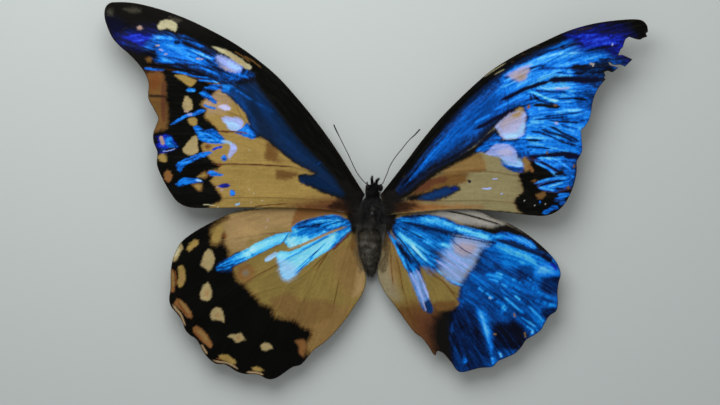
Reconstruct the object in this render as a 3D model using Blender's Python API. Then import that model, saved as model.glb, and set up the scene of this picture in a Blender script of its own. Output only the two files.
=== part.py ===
# Spread butterfly specimen: two pairs of wings with raised veins, a furred body with its head,
# feelers and folded legs, and the pin through the thorax. It lies on its thorax and feet, back up.
# +X is the specimen's right, +Y its head end and +Z its back. The origin is on the flat under
# the thorax. Sizes and outlines are in millimetres, and MM turns them into metres.

import math

import bmesh
import bpy
import numpy as np
from mathutils import Vector
from mathutils.geometry import delaunay_2d_cdt

MM = 0.001
CLEARANCE = 0.3  # air between neighbouring pieces

# Wings: thickness of the plate, and the mesh that carries its relief
WING_THICKNESS = 0.3
EDGE_STEP = 1.7  # spacing of points along a curved edge
VEIN_STEP = 2.4
FILL_STEP = 3.1  # spacing of the loose points between the veins
VEIN_RIDGE = 0.14  # height of a vein above the plate
PLEAT_DEPTH = 0.2  # sag of the plate between two veins
PLEAT_WIDTH = 2.0
PLEAT_FREE_ROOT = 9.0  # the pleats fade out over this distance from the body

# Heights of the wings' upper faces over the surface that the specimen lies on
FOREWING_ROOT = 6.1
FOREWING_RISE = 2.7
FOREWING_SPAN = 62.0
HINDWING_ROOT = 5.1
HINDWING_RISE = 0.8
HINDWING_SPAN = 46.0
BODY_TROUGH = 0.75  # the hindwings dip by this much beside the abdomen
BODY_TROUGH_WIDTH = 3.2
MARGIN_WAVE = 0.28  # slow buckle of the dried plate, growing outwards
MARGIN_WAVE_LENGTH = 11.0

# Body: stations along Y as (y, middle x, half width, lowest z, highest z)
THORAX = (
    (4.65, 0.35, 0.80, 3.1, 5.0),
    (4.30, 0.28, 1.15, 2.5, 5.6),
    (3.50, 0.15, 1.75, 1.2, 6.4),
    (2.20, 0.00, 2.45, -0.1, 7.0),
    (0.60, 0.00, 2.85, -0.5, 7.3),
    (-1.00, 0.00, 2.85, -0.4, 7.2),
    (-2.20, -0.10, 2.50, 0.3, 6.7),
    (-2.90, -0.20, 1.90, 1.1, 6.1),
    (-3.15, -0.25, 1.20, 2.0, 5.3),
)
THORAX_ROWS = (4.65, 4.45, 4.1, 3.6, 3.0, 2.3, 1.4, 0.4, -0.6, -1.4, -2.1, -2.6, -2.95, -3.15)
ABDOMEN = (
    (-3.50, -0.30, 1.40, 1.6, 5.0),
    (-4.20, -0.42, 2.25, 0.9, 5.5),
    (-5.50, -0.48, 2.66, 0.5, 5.7),
    (-7.50, -0.42, 2.66, 0.4, 5.6),
    (-9.40, -0.48, 2.48, 0.4, 5.3),
    (-11.00, -0.50, 2.10, 0.5, 4.9),
    (-12.60, -0.32, 1.68, 0.7, 4.4),
    (-13.90, -0.22, 1.25, 1.0, 3.8),
    (-14.80, -0.32, 0.62, 1.5, 3.1),
)
ABDOMEN_JOINTS = (-5.1, -6.6, -8.2, -9.8, -11.2, -12.6, -13.8)
JOINT_PINCH = 0.06  # share of the abdomen's width that each joint draws in
BODY_SIDES = 16
BODY_FULLNESS = 2.5  # 2 is an ellipse, more is boxier

# Head
HEAD_CENTRE = (0.55, 5.95, 4.2)
HEAD_RADII = (1.3, 0.95, 1.45)
EYE_OFFSET = 1.5  # from the head's middle, to each side
EYE_RADII = (0.6, 0.85, 1.15)

# Slim parts: points along the middle line, and the radius at each
ANTENNA_SHAFT = 0.1
ANTENNA_CLUB = 0.17
ANTENNA_CLUB_SHARE = 0.22  # share of the length that thickens into the club
LEFT_ANTENNA = (
    (-0.05, 6.3, 5.15), (-0.75, 6.62, 5.75), (-1.5, 7.0, 6.1), (-2.2, 7.7, 6.3), (-3.6, 9.6, 6.8),
    (-4.6, 11.6, 7.2), (-5.6, 13.8, 7.6), (-6.6, 15.8, 7.9), (-7.6, 17.8, 8.1), (-8.4, 19.4, 8.2),
    (-9.0, 20.8, 8.2),
)
RIGHT_ANTENNA = (
    (1.15, 6.3, 5.15), (1.85, 6.62, 5.75), (2.5, 6.95, 6.1), (3.0, 8.0, 6.35), (3.6, 9.4, 6.7),
    (4.1, 10.8, 7.0), (5.0, 12.4, 7.4), (6.0, 13.8, 7.7), (7.0, 15.0, 7.9), (8.0, 16.3, 8.1),
    (9.0, 17.4, 8.2), (10.0, 18.3, 8.3), (11.3, 19.7, 8.3),
)
LEFT_PALP = ((0.15, 6.3, 3.7), (0.02, 7.1, 3.9), (-0.02, 7.9, 4.3), (0.05, 8.6, 4.7))
LEFT_PALP_RADII = (0.2, 0.24, 0.2, 0.07)
RIGHT_PALP = ((0.9, 6.3, 3.7), (1.0, 7.1, 3.9), (1.3, 7.6, 4.3), (1.75, 7.9, 4.6))
RIGHT_PALP_RADII = (0.2, 0.27, 0.24, 0.1)
TONGUE_CENTRE = (0.55, 6.75, 1.95)
TONGUE_COIL = 0.74  # radius of the coil's outer turn
TONGUE_TURNS = 2.2
TONGUE_PITCH = 0.27  # how far each turn lies inside the last
TONGUE_RADIUS = 0.09
TONGUE_ROOT = ((0.55, 6.3, 3.5), (0.55, 6.36, 3.0))
# Right legs from hip to foot; the left ones mirror them
LEGS = {
    "fore_leg": (
        ((0.85, 3.1, 2.3), (1.0, 3.6, 1.2), (1.25, 4.5, 0.85), (1.35, 5.6, 0.9), (1.2, 6.6, 0.35),
         (1.1, 7.4, 0.16)),
        (0.24, 0.24, 0.24, 0.2, 0.17, 0.15),
    ),
    "middle_leg": (
        ((1.5, 1.3, 1.9), (2.35, 1.7, 0.9), (3.3, 2.5, 1.5), (4.3, 3.5, 2.4), (4.6, 4.4, 1.2),
         (4.6, 5.3, 0.28), (4.3, 6.5, 0.17)),
        (0.3, 0.34, 0.36, 0.26, 0.22, 0.17, 0.15),
    ),
    "hind_leg": (
        ((1.5, -1.2, 1.9), (2.35, -1.5, 0.9), (3.4, -2.3, 1.6), (4.3, -3.4, 2.5), (4.5, -5.1, 1.3),
         (4.2, -6.9, 0.28), (3.6, -9.4, 0.17)),
        (0.3, 0.34, 0.36, 0.26, 0.22, 0.17, 0.15),
    ),
}
PIN_PLACE = (0.0, -0.1)
PIN_RADIUS = 0.22
PIN_HEAD_RADIUS = 0.48
PIN_FOOT = 1.2  # height of its hidden end inside the thorax
PIN_TOP = 9.0  # height of the middle of its head

# Wing outlines, from the front of the root round the tip to the back of the root. Each run is
# either a curve through its points or straight between them.
LEFT_FOREWING_EDGE = (
    ("curve", (
        (-1.65, 4.3), (-4, 8), (-8, 14.4), (-11.9, 20), (-16.7, 26), (-22.1, 32), (-26.8, 36),
        (-32.2, 39.8), (-38, 43), (-44, 45.8), (-50, 47.9), (-56, 49.25), (-60, 49.4),
        (-61.4, 49.2), (-62.4, 48.2), (-62.65, 46.2), (-62.1, 43.8), (-60.8, 41), (-59, 39),
        (-57, 37.3), (-55, 35.2), (-53.2, 32.7), (-52.4, 30.5), (-52.4, 26.8), (-51.3, 24.6),
        (-50.15, 22.1), (-50.4, 21.2), (-51.3, 18.6), (-51.2, 16.6), (-50.4, 14.4),
        (-50.45, 11.4), (-49.5, 8.8), (-47.2, 4.6), (-45.5, 2.5), (-43.2, 1.4), (-38, 1.15),
        (-30, 1.3), (-18, 1.1), (-8, 0.4), (-3.1, -0.5),
    )),
    ("straight", ((-3.05, 0.6), (-2.8, 2), (-2.2, 3.3))),
)
RIGHT_FOREWING_EDGE = (
    ("curve", (
        (1.95, 4.3), (4, 6.9), (8, 12.1), (12, 17.4), (16, 22.2), (20, 26.3), (24, 30.1),
        (28, 33.5), (34, 37.2), (40, 40.1), (46, 42.75), (52, 44.45), (58, 45.25), (62, 45.35),
        (63.4, 45), (64.4, 43.9), (64.63, 42.5),
    )),
    ("straight", (
        (64.1, 42), (64.55, 41.35), (63.4, 40.95), (62.85, 40.6), (62, 40.7), (60.2, 41.3),
        (59.4, 40.7), (58.97, 39.6), (58.85, 38.95), (58.2, 38.3), (57.65, 36.95), (58.6, 37.1),
        (60.95, 36), (60.4, 35.4), (59.25, 34.3), (58.2, 34.75), (56.5, 34.75), (55.65, 35.4),
        (55.4, 35.25), (55.7, 34.7), (57.8, 34.1), (56.8, 33.3), (56.35, 32.95), (55.3, 33.4),
        (54.4, 33.1), (54.75, 32.2), (54.4, 31.7), (54.85, 31.4),
    )),
    ("curve", (
        (54.4, 31), (52.9, 29), (51.9, 26.6), (51.5, 24.3), (50.95, 21.9), (49.75, 20.05),
        (49.15, 19.6), (49.1, 17.85), (49.3, 14.65), (48.6, 13.05), (48.1, 12.2), (47.95, 9.35),
        (47.15, 6), (45.55, 2.6), (43.6, 0.5), (40.9, -0.6), (37.5, -0.55), (31.1, 0.2),
        (24.7, 0.75), (18, 0.75), (10, 0.1), (6, -0.3), (3.1, -0.7),
    )),
    ("straight", ((3.05, 0.6), (2.8, 2), (2.3, 3.3))),
)
LEFT_HINDWING_EDGE = (
    ("curve", (
        (-3.25, 0.3), (-6, 2.1), (-11, 3.2), (-17, 3.1), (-22, 2.4), (-26, 1.65), (-28.9, 0.85),
        (-33.7, -0.3), (-38, -2.3), (-42, -4.55), (-45, -6.95), (-46.75, -10.25),
        (-47.35, -13.5), (-47.5, -17.8), (-47.8, -20.4), (-47.3, -22.1), (-45.9, -23.75),
        (-44.8, -25.35), (-43.95, -27.6), (-42.9, -28.8), (-41.35, -29.85), (-39.6, -32.9),
        (-38.25, -34.5), (-36.8, -35.55), (-34.55, -35.8), (-31.95, -37.35), (-30, -37.95),
        (-27, -38.1), (-24.4, -39.2), (-22.8, -39), (-20.05, -37.25), (-18.6, -36.3),
        (-16.8, -35.8), (-13.7, -32.3), (-11.7, -30.9), (-10.05, -29.5), (-8, -27.3),
        (-5.9, -24.7), (-3.9, -21.7), (-2.1, -18.8), (-1.45, -16.5), (-1.5, -14.5),
        (-2.25, -12.5), (-3.15, -10.05), (-3.4, -7.3), (-3.7, -4.3), (-3.3, -1.5),
    )),
)
RIGHT_HINDWING_EDGE = (
    ("curve", (
        (3.25, 0.1), (6, 1.8), (12, 2.7), (18, 2.3), (22, 1.4), (25.9, 0.2), (28, -0.9),
        (32, -2.35), (36.05, -4.65), (39.7, -7.5), (42.45, -10.25), (43.8, -12.15),
        (44.45, -14.45), (44, -16.5), (43.75, -18.8), (43.8, -21.5), (43.4, -23.1),
        (41.7, -24.35), (40.75, -25.95), (39.8, -27.6), (37.9, -29), (36.4, -29.85),
        (35.2, -31.6), (33.7, -33.1), (31.6, -34.15), (29.7, -35), (28.45, -36.25),
        (25.5, -36.55), (21.3, -37.55), (20.25, -37.3), (18.5, -34.95), (16.7, -33),
        (15.5, -32.5),
    )),
    ("straight", ((15.25, -32.8), (15, -33.7), (14.45, -33.3))),
    ("curve", (
        (13.2, -31.2), (11.85, -29.5), (10.15, -28.25), (8.4, -26.1), (5.7, -22.3),
        (3.05, -18.8), (1.8, -16.3), (1.35, -13.8), (2, -10.8), (2.6, -7.5), (3.35, -4.5),
        (3.3, -1.5),
    )),
)

# Veins: each one from the root side outwards, ending just inside the edge
LEFT_FOREWING_VEINS = (
    ((-2.6, 4.1), (-8, 12.6), (-16, 23.4), (-25, 32.8), (-34, 39.2), (-44, 44.2), (-55, 47.6)),
    ((-3.4, 3.2), (-8, 9), (-14, 15.2), (-20, 21.3), (-26, 27.4), (-31, 31.6), (-40, 37.2),
     (-50, 42.3), (-60.4, 45.6)),
    ((-3.6, 2.4), (-8, 5.4), (-14, 9.4), (-20, 13.6), (-26, 18.2), (-30.6, 22.6), (-32.2, 27),
     (-31, 31.6)),
    ((-32, 29.2), (-40, 32.8), (-50, 36.9), (-58.4, 39.6)),
    ((-32.2, 27), (-40, 28.8), (-46, 30.6), (-52, 31.4)),
    ((-30.6, 22.6), (-38, 25.2), (-45, 26.5), (-51.4, 27.3)),
    ((-25, 17.4), (-31, 18.8), (-36, 19.3), (-44, 19.2), (-50.3, 18.3)),
    ((-14, 9.4), (-18, 10.7), (-22, 11.2), (-30, 11.45), (-40, 11.5), (-49.4, 11.2)),
    ((-3.8, 1.4), (-10, 3), (-16, 3.4), (-28, 3.7), (-38, 3.4), (-45.4, 3.4)),
)
RIGHT_FOREWING_VEINS = (
    ((2.9, 4.4), (8, 11), (16, 20.9), (25, 29.6), (34, 35.9), (44, 40.7), (56, 43.7)),
    ((3.6, 3.4), (8, 8), (14, 14.6), (20, 20.8), (26, 26.2), (31, 30), (38, 34), (48, 38.6),
     (57, 41)),
    ((3.6, 2.4), (8, 4.6), (14, 8.6), (20, 12.6), (26, 16.6), (30, 20.4), (32, 25), (31, 30)),
    ((31.8, 27.4), (38, 31), (46, 33.6), (53.4, 34.2)),
    ((32, 25), (38, 27), (46, 28.9), (52, 28.9)),
    ((30, 20.4), (37, 22.6), (44, 23.6), (50.6, 23.4)),
    ((26, 16.6), (31, 17.1), (38, 17.3), (48.2, 15.8)),
    ((15, 9.4), (20, 10.05), (28, 9.75), (34.6, 8.9), (41, 9.3), (47.2, 9.6)),
    ((3.8, 1.4), (10, 2.7), (18, 2.9), (28, 2.9), (36, 2.2), (43.6, 2.0)),
)
LEFT_HINDWING_VEINS = (
    ((-3.9, -0.2), (-8, 0.9), (-14, 1.9), (-20, 1.8), (-26, 0.9), (-34, -1.5), (-41.6, -5.3)),
    ((-4.2, -1.4), (-9, -1.6), (-14, -2.4), (-19.4, -4.3), (-26, -4.9), (-34.5, -6.4),
     (-41, -8.9), (-46.2, -12)),
    ((-19.4, -4.3), (-21, -6.9), (-24, -8.3), (-30, -11.3), (-38, -15.6), (-46.8, -20.4)),
    ((-4.4, -2.6), (-10, -5.4), (-16, -8.8), (-22, -12), (-29.5, -16.1), (-37, -21.4),
     (-43.2, -27)),
    ((-4.6, -3.6), (-11, -9.9), (-15, -13.7), (-20, -16.8), (-27.5, -19.2), (-34, -25.4),
     (-38.4, -33)),
    ((-20, -16.8), (-21.5, -20.8), (-26, -29), (-31, -36.5)),
    ((-10.5, -9.6), (-13, -13.4), (-15.6, -19.6), (-19.4, -28), (-23.6, -38)),
    ((-4.4, -5.4), (-6.4, -10), (-7.8, -16), (-9.2, -22), (-12, -29.8)),
)
RIGHT_HINDWING_VEINS = (
    ((3.9, -0.4), (8, 0.7), (14, 1.2), (20, 0.6), (26, -1.4), (33, -4), (40.4, -9.2)),
    ((4.2, -1.4), (9, -1.6), (14, -2.8), (18, -5), (25, -6.6), (33, -9), (43.4, -13.6)),
    ((18, -5), (20.5, -8.2), (26, -11), (33, -15), (43, -20.6)),
    ((4.4, -2.6), (9, -5.8), (14, -8.8), (20, -12.6), (27, -17.4), (33, -22), (38.8, -27.4)),
    ((4.6, -3.6), (9, -9), (13, -13.4), (17.6, -17.4), (24, -22), (29, -27), (33.2, -32.2)),
    ((17.6, -17.4), (19.4, -21.6), (23.6, -29), (28, -35.2)),
    ((10, -10.2), (12, -14.6), (14, -20), (17, -28), (20.8, -36.4)),
    ((4.4, -5.6), (5.5, -10), (6.7, -15), (8, -20.4), (11.4, -27.8)),
)


# Materials

def plain_material(name, colour, roughness, metallic=0.0):
    material = bpy.data.materials.new(name)
    material.use_nodes = True
    shader = material.node_tree.nodes["Principled BSDF"]
    shader.inputs["Base Color"].default_value = (*colour, 1.0)
    shader.inputs["Roughness"].default_value = roughness
    shader.inputs["Metallic"].default_value = metallic
    return material


# Shared geometry

def smooth_run(points, step):
    """Points about a step apart on the smooth curve that passes through the given points."""
    points = np.array(points, float)
    gaps = np.linalg.norm(np.diff(points, axis=0), axis=1)
    times = np.sqrt(gaps)[:, None]
    slopes = np.diff(points, axis=0) / times
    tangents = np.vstack([slopes[:1], slopes[:1], slopes[1:]])
    tangents[1:-1] = (slopes[1:] * times[:-1] + slopes[:-1] * times[1:]) / (times[1:] + times[:-1])
    pieces = []
    for i, gap in enumerate(gaps):
        count = max(1, round(gap / step))
        t = (np.arange(count) / count)[:, None]
        pieces.append(
            points[i] * (2 * t**3 - 3 * t**2 + 1)
            + points[i + 1] * (3 * t**2 - 2 * t**3)
            + tangents[i] * times[i] * (t**3 - 2 * t**2 + t)
            + tangents[i + 1] * times[i] * (t**3 - t**2)
        )
    return np.vstack([*pieces, points[-1:]])


def finish(name, bm, material, sharp_degrees=50):
    """The bmesh as an object in metres, smooth but for its sharp edges."""
    bmesh.ops.scale(bm, vec=(MM, MM, MM), verts=bm.verts[:])
    bmesh.ops.recalc_face_normals(bm, faces=bm.faces[:])
    mesh = bpy.data.meshes.new(name)
    bm.to_mesh(mesh)
    bm.free()
    mesh.shade_smooth()
    mesh.set_sharp_from_angle(angle=math.radians(sharp_degrees))
    mesh.materials.append(material)
    made = bpy.data.objects.new(name, mesh)
    bpy.context.scene.collection.objects.link(made)
    return made


def add_ring(bm, points):
    """A closed loop of edges through the points."""
    verts = [bm.verts.new(point) for point in points]
    return [bm.edges.new((a, b)) for a, b in zip(verts, verts[1:] + verts[:1])]


def skin(bm, rings):
    """Walls between neighbouring rings, and a flat cap on the first and the last."""
    loops = [add_ring(bm, ring) for ring in rings]
    for first, second in zip(loops, loops[1:]):
        bmesh.ops.bridge_loops(bm, edges=first + second)
    for loop in (loops[0], loops[-1]):
        bmesh.ops.contextual_create(bm, geom=loop)


# Cutters

def cut(body, cutter):
    """Takes the cutter's shape out of the body, and keeps the cutter as a hidden guide."""
    cutter.hide_render = True
    cutter.display_type = "WIRE"
    modifier = body.modifiers.new("cut_" + cutter.name, "BOOLEAN")
    modifier.operation = "DIFFERENCE"
    modifier.object = cutter


def bore(name, start, end, radius, material):
    """A round cutter from one point to another."""
    start, end = Vector(start), Vector(end)
    bm = bmesh.new()
    bmesh.ops.create_cone(
        bm, cap_ends=True, segments=12, radius1=radius, radius2=radius, depth=(end - start).length
    )
    turn = Vector((0, 0, 1)).rotation_difference(end - start).to_matrix()
    bmesh.ops.rotate(bm, cent=(0, 0, 0), matrix=turn, verts=bm.verts[:])
    bmesh.ops.translate(bm, vec=(start + end) / 2, verts=bm.verts[:])
    return finish(name, bm, material)


def socket(body, name, path, radius, material):
    """A blind hole in the body for a slim part, along the first stretch of the part's path."""
    first, second = Vector(path[0]), Vector(path[1])
    along = (second - first).normalized()
    cut(body, bore(
        name, first - along * CLEARANCE, second + along * 2 * CLEARANCE, radius + CLEARANCE, material
    ))


# Wings

def outline_points(runs):
    """The wing's edge as one closed ring of points, without doubles."""
    points = []
    for kind, run in runs:
        run = smooth_run(run, EDGE_STEP) if kind == "curve" else np.array(run, float)
        if points and np.linalg.norm(run[0] - points[-1]) < 0.05:
            run = run[1:]
        points.extend(run)
    return np.array(points)


def distance_to_lines(points, lines):
    """Distance in plan from each point to the nearest of the polylines."""
    nearest = np.full(len(points), 1e9)
    for line in lines:
        line = np.array(line, float)
        for a, b in zip(line, line[1:]):
            along = np.clip(((points - a) @ (b - a)) / ((b - a) @ (b - a)), 0, 1)
            nearest = np.minimum(nearest, np.linalg.norm(points - a - along[:, None] * (b - a), axis=1))
    return nearest


def inside(points, ring):
    """Which points lie inside the ring, by counting the edges that a ray along +X crosses."""
    ends = np.roll(ring, -1, axis=0)
    x, y = points[:, :1], points[:, 1:]
    spans = (ring[:, 1] > y) != (ends[:, 1] > y)
    rise = np.where(ends[:, 1] == ring[:, 1], 1.0, ends[:, 1] - ring[:, 1])
    cross = ring[:, 0] + (y - ring[:, 1]) / rise * (ends[:, 0] - ring[:, 0])
    return (spans & (x < cross)).sum(axis=1) % 2 == 1


def fill_points(ring, veins):
    """Loose points in a triangular pattern, clear of the edge and of the veins."""
    low, high = ring.min(axis=0), ring.max(axis=0)
    rows = np.arange(low[1], high[1], FILL_STEP * math.sqrt(0.75))
    columns = np.arange(low[0], high[0], FILL_STEP)
    x, y = np.meshgrid(columns, rows)
    x[1::2] += FILL_STEP / 2
    points = np.column_stack([x.ravel(), y.ravel()])
    edge = np.vstack([ring, ring[:1]])
    clear = inside(points, ring)
    clear &= distance_to_lines(points, [edge]) > 0.45 * FILL_STEP
    clear &= distance_to_lines(points, veins) > 0.4 * FILL_STEP
    return points[clear]


def wing_height(points, veins, root, rise, span, trough):
    """Height of the wing's upper face: it rises outwards, sags between its veins and buckles slowly."""
    x, y = points[:, 0], points[:, 1]
    outward = np.clip((np.abs(x) - 3) / span, 0, 1.2)
    to_vein = distance_to_lines(points, veins)
    freed = np.clip((np.abs(x) - 3) / PLEAT_FREE_ROOT, 0, 1)
    pleat = VEIN_RIDGE * np.exp(-((to_vein / 0.4) ** 2))
    pleat -= PLEAT_DEPTH * (1 - np.exp(-((to_vein / PLEAT_WIDTH) ** 2)))
    wave = np.sin(2 * math.pi * (y + 0.35 * np.abs(x)) / MARGIN_WAVE_LENGTH)
    beside = np.exp(-(((np.abs(x) - 3) / BODY_TROUGH_WIDTH) ** 2)) * np.clip((-2 - y) / 4, 0, 1)
    return (
        root + rise * outward**1.4 + pleat * freed + MARGIN_WAVE * wave * outward**2 - trough * beside
    )


def make_wing(name, runs, veins, heights, material):
    """A thin plate: its upper face is triangulated between the edge and the veins, then drawn down."""
    ring = outline_points(runs)
    lines = [smooth_run(vein, VEIN_STEP) for vein in veins]
    loose = fill_points(ring, lines)
    points = np.vstack([ring, *lines, loose])
    starts = np.cumsum([len(ring)] + [len(line) for line in lines])
    edges = [
        (start + i, start + i + 1)
        for start, line in zip(starts, lines)
        for i in range(len(line) - 1)
    ]
    plan, _, faces, *_ = delaunay_2d_cdt(
        [Vector(point) for point in points], edges, [list(range(len(ring)))], 0, 0.02
    )
    plan = np.array([tuple(point) for point in plan])
    faces = np.array(faces)
    faces = faces[inside(plan[faces].mean(axis=1), ring)]
    z = wing_height(plan, lines, *heights)
    bm = bmesh.new()
    verts = [bm.verts.new((x, y, top)) for (x, y), top in zip(plan, z)]
    for corners in faces:
        bm.faces.new([verts[i] for i in corners])
    lower = bmesh.ops.extrude_face_region(bm, geom=bm.faces[:], use_keep_orig=True)
    moved = [item for item in lower["geom"] if isinstance(item, bmesh.types.BMVert)]
    bmesh.ops.translate(bm, vec=(0, 0, -WING_THICKNESS), verts=moved)
    return finish(name, bm, material, sharp_degrees=60)


# Body

def make_trunk(name, stations, rows, joints, material):
    """A closed trunk through the stations: each row is a full oval, cut flat where it would sink."""
    smooth = smooth_run(stations, 0.1)
    smooth = smooth[np.argsort(smooth[:, 0])]
    angle = np.arange(BODY_SIDES) * 2 * math.pi / BODY_SIDES + math.pi / BODY_SIDES
    oval_x = np.sign(np.cos(angle)) * np.abs(np.cos(angle)) ** (2 / BODY_FULLNESS)
    oval_z = np.sign(np.sin(angle)) * np.abs(np.sin(angle)) ** (2 / BODY_FULLNESS)
    rings = []
    for y in rows:
        middle, half_width, low, high = (np.interp(y, smooth[:, 0], smooth[:, i]) for i in range(1, 5))
        pinch = 1 - JOINT_PINCH * sum(math.exp(-(((y - joint) / 0.2) ** 2)) for joint in joints)
        x = middle + oval_x * half_width * pinch
        z = (low + high) / 2 + oval_z * (high - low) / 2 * pinch
        rings.append(np.column_stack([x, np.full(BODY_SIDES, y), np.maximum(z, 0)]))
    bm = bmesh.new()
    skin(bm, rings)
    return finish(name, bm, material)


def abdomen_rows():
    """Rows at each joint and to both sides of it, and close together at the two ends."""
    rows = {-3.5, -3.7, -4.1, -14.35, -14.65, -14.8}
    for joint in ABDOMEN_JOINTS:
        rows |= {joint + 0.4, joint, joint - 0.4}
    return sorted(rows, reverse=True)


def make_ball(name, centre, radii, segments, material):
    bm = bmesh.new()
    bmesh.ops.create_uvsphere(bm, u_segments=segments, v_segments=segments * 2 // 3, radius=1)
    bmesh.ops.scale(bm, vec=radii, verts=bm.verts[:])
    bmesh.ops.translate(bm, vec=centre, verts=bm.verts[:])
    return finish(name, bm, material)


def make_slim(name, path, radii, material, step=0.8):
    """A tapering round bar along a smooth path."""
    route = smooth_run(np.column_stack([np.array(path, float), radii]), step)
    curve = bpy.data.curves.new(name, "CURVE")
    curve.dimensions = "3D"
    curve.bevel_depth = MM
    curve.bevel_resolution = 1
    curve.use_fill_caps = True
    spline = curve.splines.new("POLY")
    spline.points.add(len(route) - 1)
    for point, (x, y, z, radius) in zip(spline.points, route):
        point.co = (x * MM, y * MM, z * MM, 1)
        point.radius = radius
    curve.materials.append(material)
    made = bpy.data.objects.new(name, curve)
    bpy.context.scene.collection.objects.link(made)
    return made


def antenna_radii(path):
    """The shaft's radius, growing into the club over the last stretch."""
    share = np.linspace(0, 1, len(path))
    club = np.clip((share - 1 + ANTENNA_CLUB_SHARE) / ANTENNA_CLUB_SHARE, 0, 1)
    return ANTENNA_SHAFT + (ANTENNA_CLUB - ANTENNA_SHAFT) * club


def tongue_path():
    """Down from the head, then a flat coil whose turns lie inside one another."""
    count = 24
    turn = np.linspace(0, TONGUE_TURNS, count)
    angle = math.radians(105) - turn * 2 * math.pi
    radius = TONGUE_COIL - TONGUE_PITCH * turn
    x, y, z = TONGUE_CENTRE
    coil = np.column_stack([np.full(count, x), y + radius * np.cos(angle), z + radius * np.sin(angle)])
    return [*TONGUE_ROOT, *coil]


def make_pin(name, material):
    """A straight pin with a round head, turned about its axis."""
    neck = math.radians(-70)
    arc = [neck + (math.pi / 2 - neck) * i / 8 for i in range(9)]
    head = [(PIN_HEAD_RADIUS * math.cos(a), PIN_TOP + PIN_HEAD_RADIUS * math.sin(a)) for a in arc]
    profile = [(0, PIN_FOOT), (PIN_RADIUS, PIN_FOOT), (PIN_RADIUS, head[0][1] - 0.1), *head[:-1]]
    profile.append((0, PIN_TOP + PIN_HEAD_RADIUS))
    bm = bmesh.new()
    x, y = PIN_PLACE
    verts = [bm.verts.new((x + radius, y, z)) for radius, z in profile]
    edges = [bm.edges.new(pair) for pair in zip(verts, verts[1:])]
    bmesh.ops.spin(
        bm, geom=verts + edges, cent=(x, y, 0), axis=(0, 0, 1), angle=2 * math.pi, steps=12,
        use_merge=True
    )
    bmesh.ops.remove_doubles(bm, verts=bm.verts[:], dist=0.001)
    return finish(name, bm, material)


# Assembly

def mirrored(path):
    return [(-x, y, z) for x, y, z in path]


def build_wings():
    forewing = (FOREWING_ROOT, FOREWING_RISE, FOREWING_SPAN, 0.0)
    hindwing = (HINDWING_ROOT, HINDWING_RISE, HINDWING_SPAN, BODY_TROUGH)
    blue = (0.02, 0.16, 0.62)
    tan = (0.32, 0.22, 0.09)
    make_wing("left_forewing", LEFT_FOREWING_EDGE, LEFT_FOREWING_VEINS, forewing,
              plain_material("left_forewing", (0.05, 0.12, 0.3), 0.5))
    make_wing("right_forewing", RIGHT_FOREWING_EDGE, RIGHT_FOREWING_VEINS, forewing,
              plain_material("right_forewing", blue, 0.4))
    make_wing("left_hindwing", LEFT_HINDWING_EDGE, LEFT_HINDWING_VEINS, hindwing,
              plain_material("left_hindwing", tan, 0.6))
    make_wing("right_hindwing", RIGHT_HINDWING_EDGE, RIGHT_HINDWING_VEINS, hindwing,
              plain_material("right_hindwing", (0.02, 0.2, 0.55), 0.45))


def build_body():
    fur = plain_material("thorax", (0.012, 0.012, 0.01), 0.9)
    thorax = make_trunk("thorax", THORAX, THORAX_ROWS, (), fur)
    make_trunk("abdomen", ABDOMEN, abdomen_rows(), ABDOMEN_JOINTS,
               plain_material("abdomen", (0.035, 0.03, 0.022), 0.85))
    head = make_ball("head", HEAD_CENTRE, HEAD_RADII, 18,
                     plain_material("head", (0.01, 0.01, 0.009), 0.85))
    return thorax, head


def build_eyes(head):
    x, y, z = HEAD_CENTRE
    room = tuple(radius + CLEARANCE for radius in EYE_RADII)
    for name, side in (("left_eye", -1), ("right_eye", 1)):
        gloss = plain_material(name, (0.006, 0.005, 0.005), 0.12)
        centre = (x + side * EYE_OFFSET, y, z)
        make_ball(name, centre, EYE_RADII, 12, gloss)
        cut(head, make_ball(name + "_room", centre, room, 15, gloss))


def build_head_parts(head):
    feeler = plain_material("antenna", (0.008, 0.008, 0.008), 0.5)
    for name, path in (("left_antenna", LEFT_ANTENNA), ("right_antenna", RIGHT_ANTENNA)):
        make_slim(name, path, antenna_radii(path), feeler)
        socket(head, name + "_socket", path, ANTENNA_SHAFT, feeler)
    furred = plain_material("palp", (0.012, 0.011, 0.01), 0.9)
    for name, path, radii in (
        ("left_palp", LEFT_PALP, LEFT_PALP_RADII),
        ("right_palp", RIGHT_PALP, RIGHT_PALP_RADII),
    ):
        make_slim(name, path, radii, furred, step=0.5)
        socket(head, name + "_socket", path, radii[0], furred)
    horn = plain_material("tongue", (0.05, 0.03, 0.02), 0.45)
    path = tongue_path()
    make_slim("tongue", path, [TONGUE_RADIUS] * len(path), horn, step=0.3)
    socket(head, "tongue_socket", TONGUE_ROOT, TONGUE_RADIUS, horn)


def build_legs(thorax):
    horn = plain_material("leg", (0.02, 0.016, 0.012), 0.6)
    for kind, (path, radii) in LEGS.items():
        for side, route in (("left", mirrored(path)), ("right", path)):
            make_slim(f"{side}_{kind}", route, radii, horn, step=0.7)
            socket(thorax, f"{side}_{kind}_socket", route, radii[0], horn)


def build_pin(thorax):
    steel = plain_material("pin", (0.05, 0.045, 0.04), 0.25, metallic=0.6)
    make_pin("pin", steel)
    x, y = PIN_PLACE
    floor = (x, y, PIN_FOOT - CLEARANCE)
    cut(thorax, bore("pin_hole", floor, (x, y, PIN_TOP), PIN_RADIUS + CLEARANCE, steel))


def main():
    for old in list(bpy.data.objects):
        bpy.data.objects.remove(old, do_unlink=True)
    build_wings()
    thorax, head = build_body()
    build_eyes(head)
    build_head_parts(head)
    build_legs(thorax)
    build_pin(thorax)


main()
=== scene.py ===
import math

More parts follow.
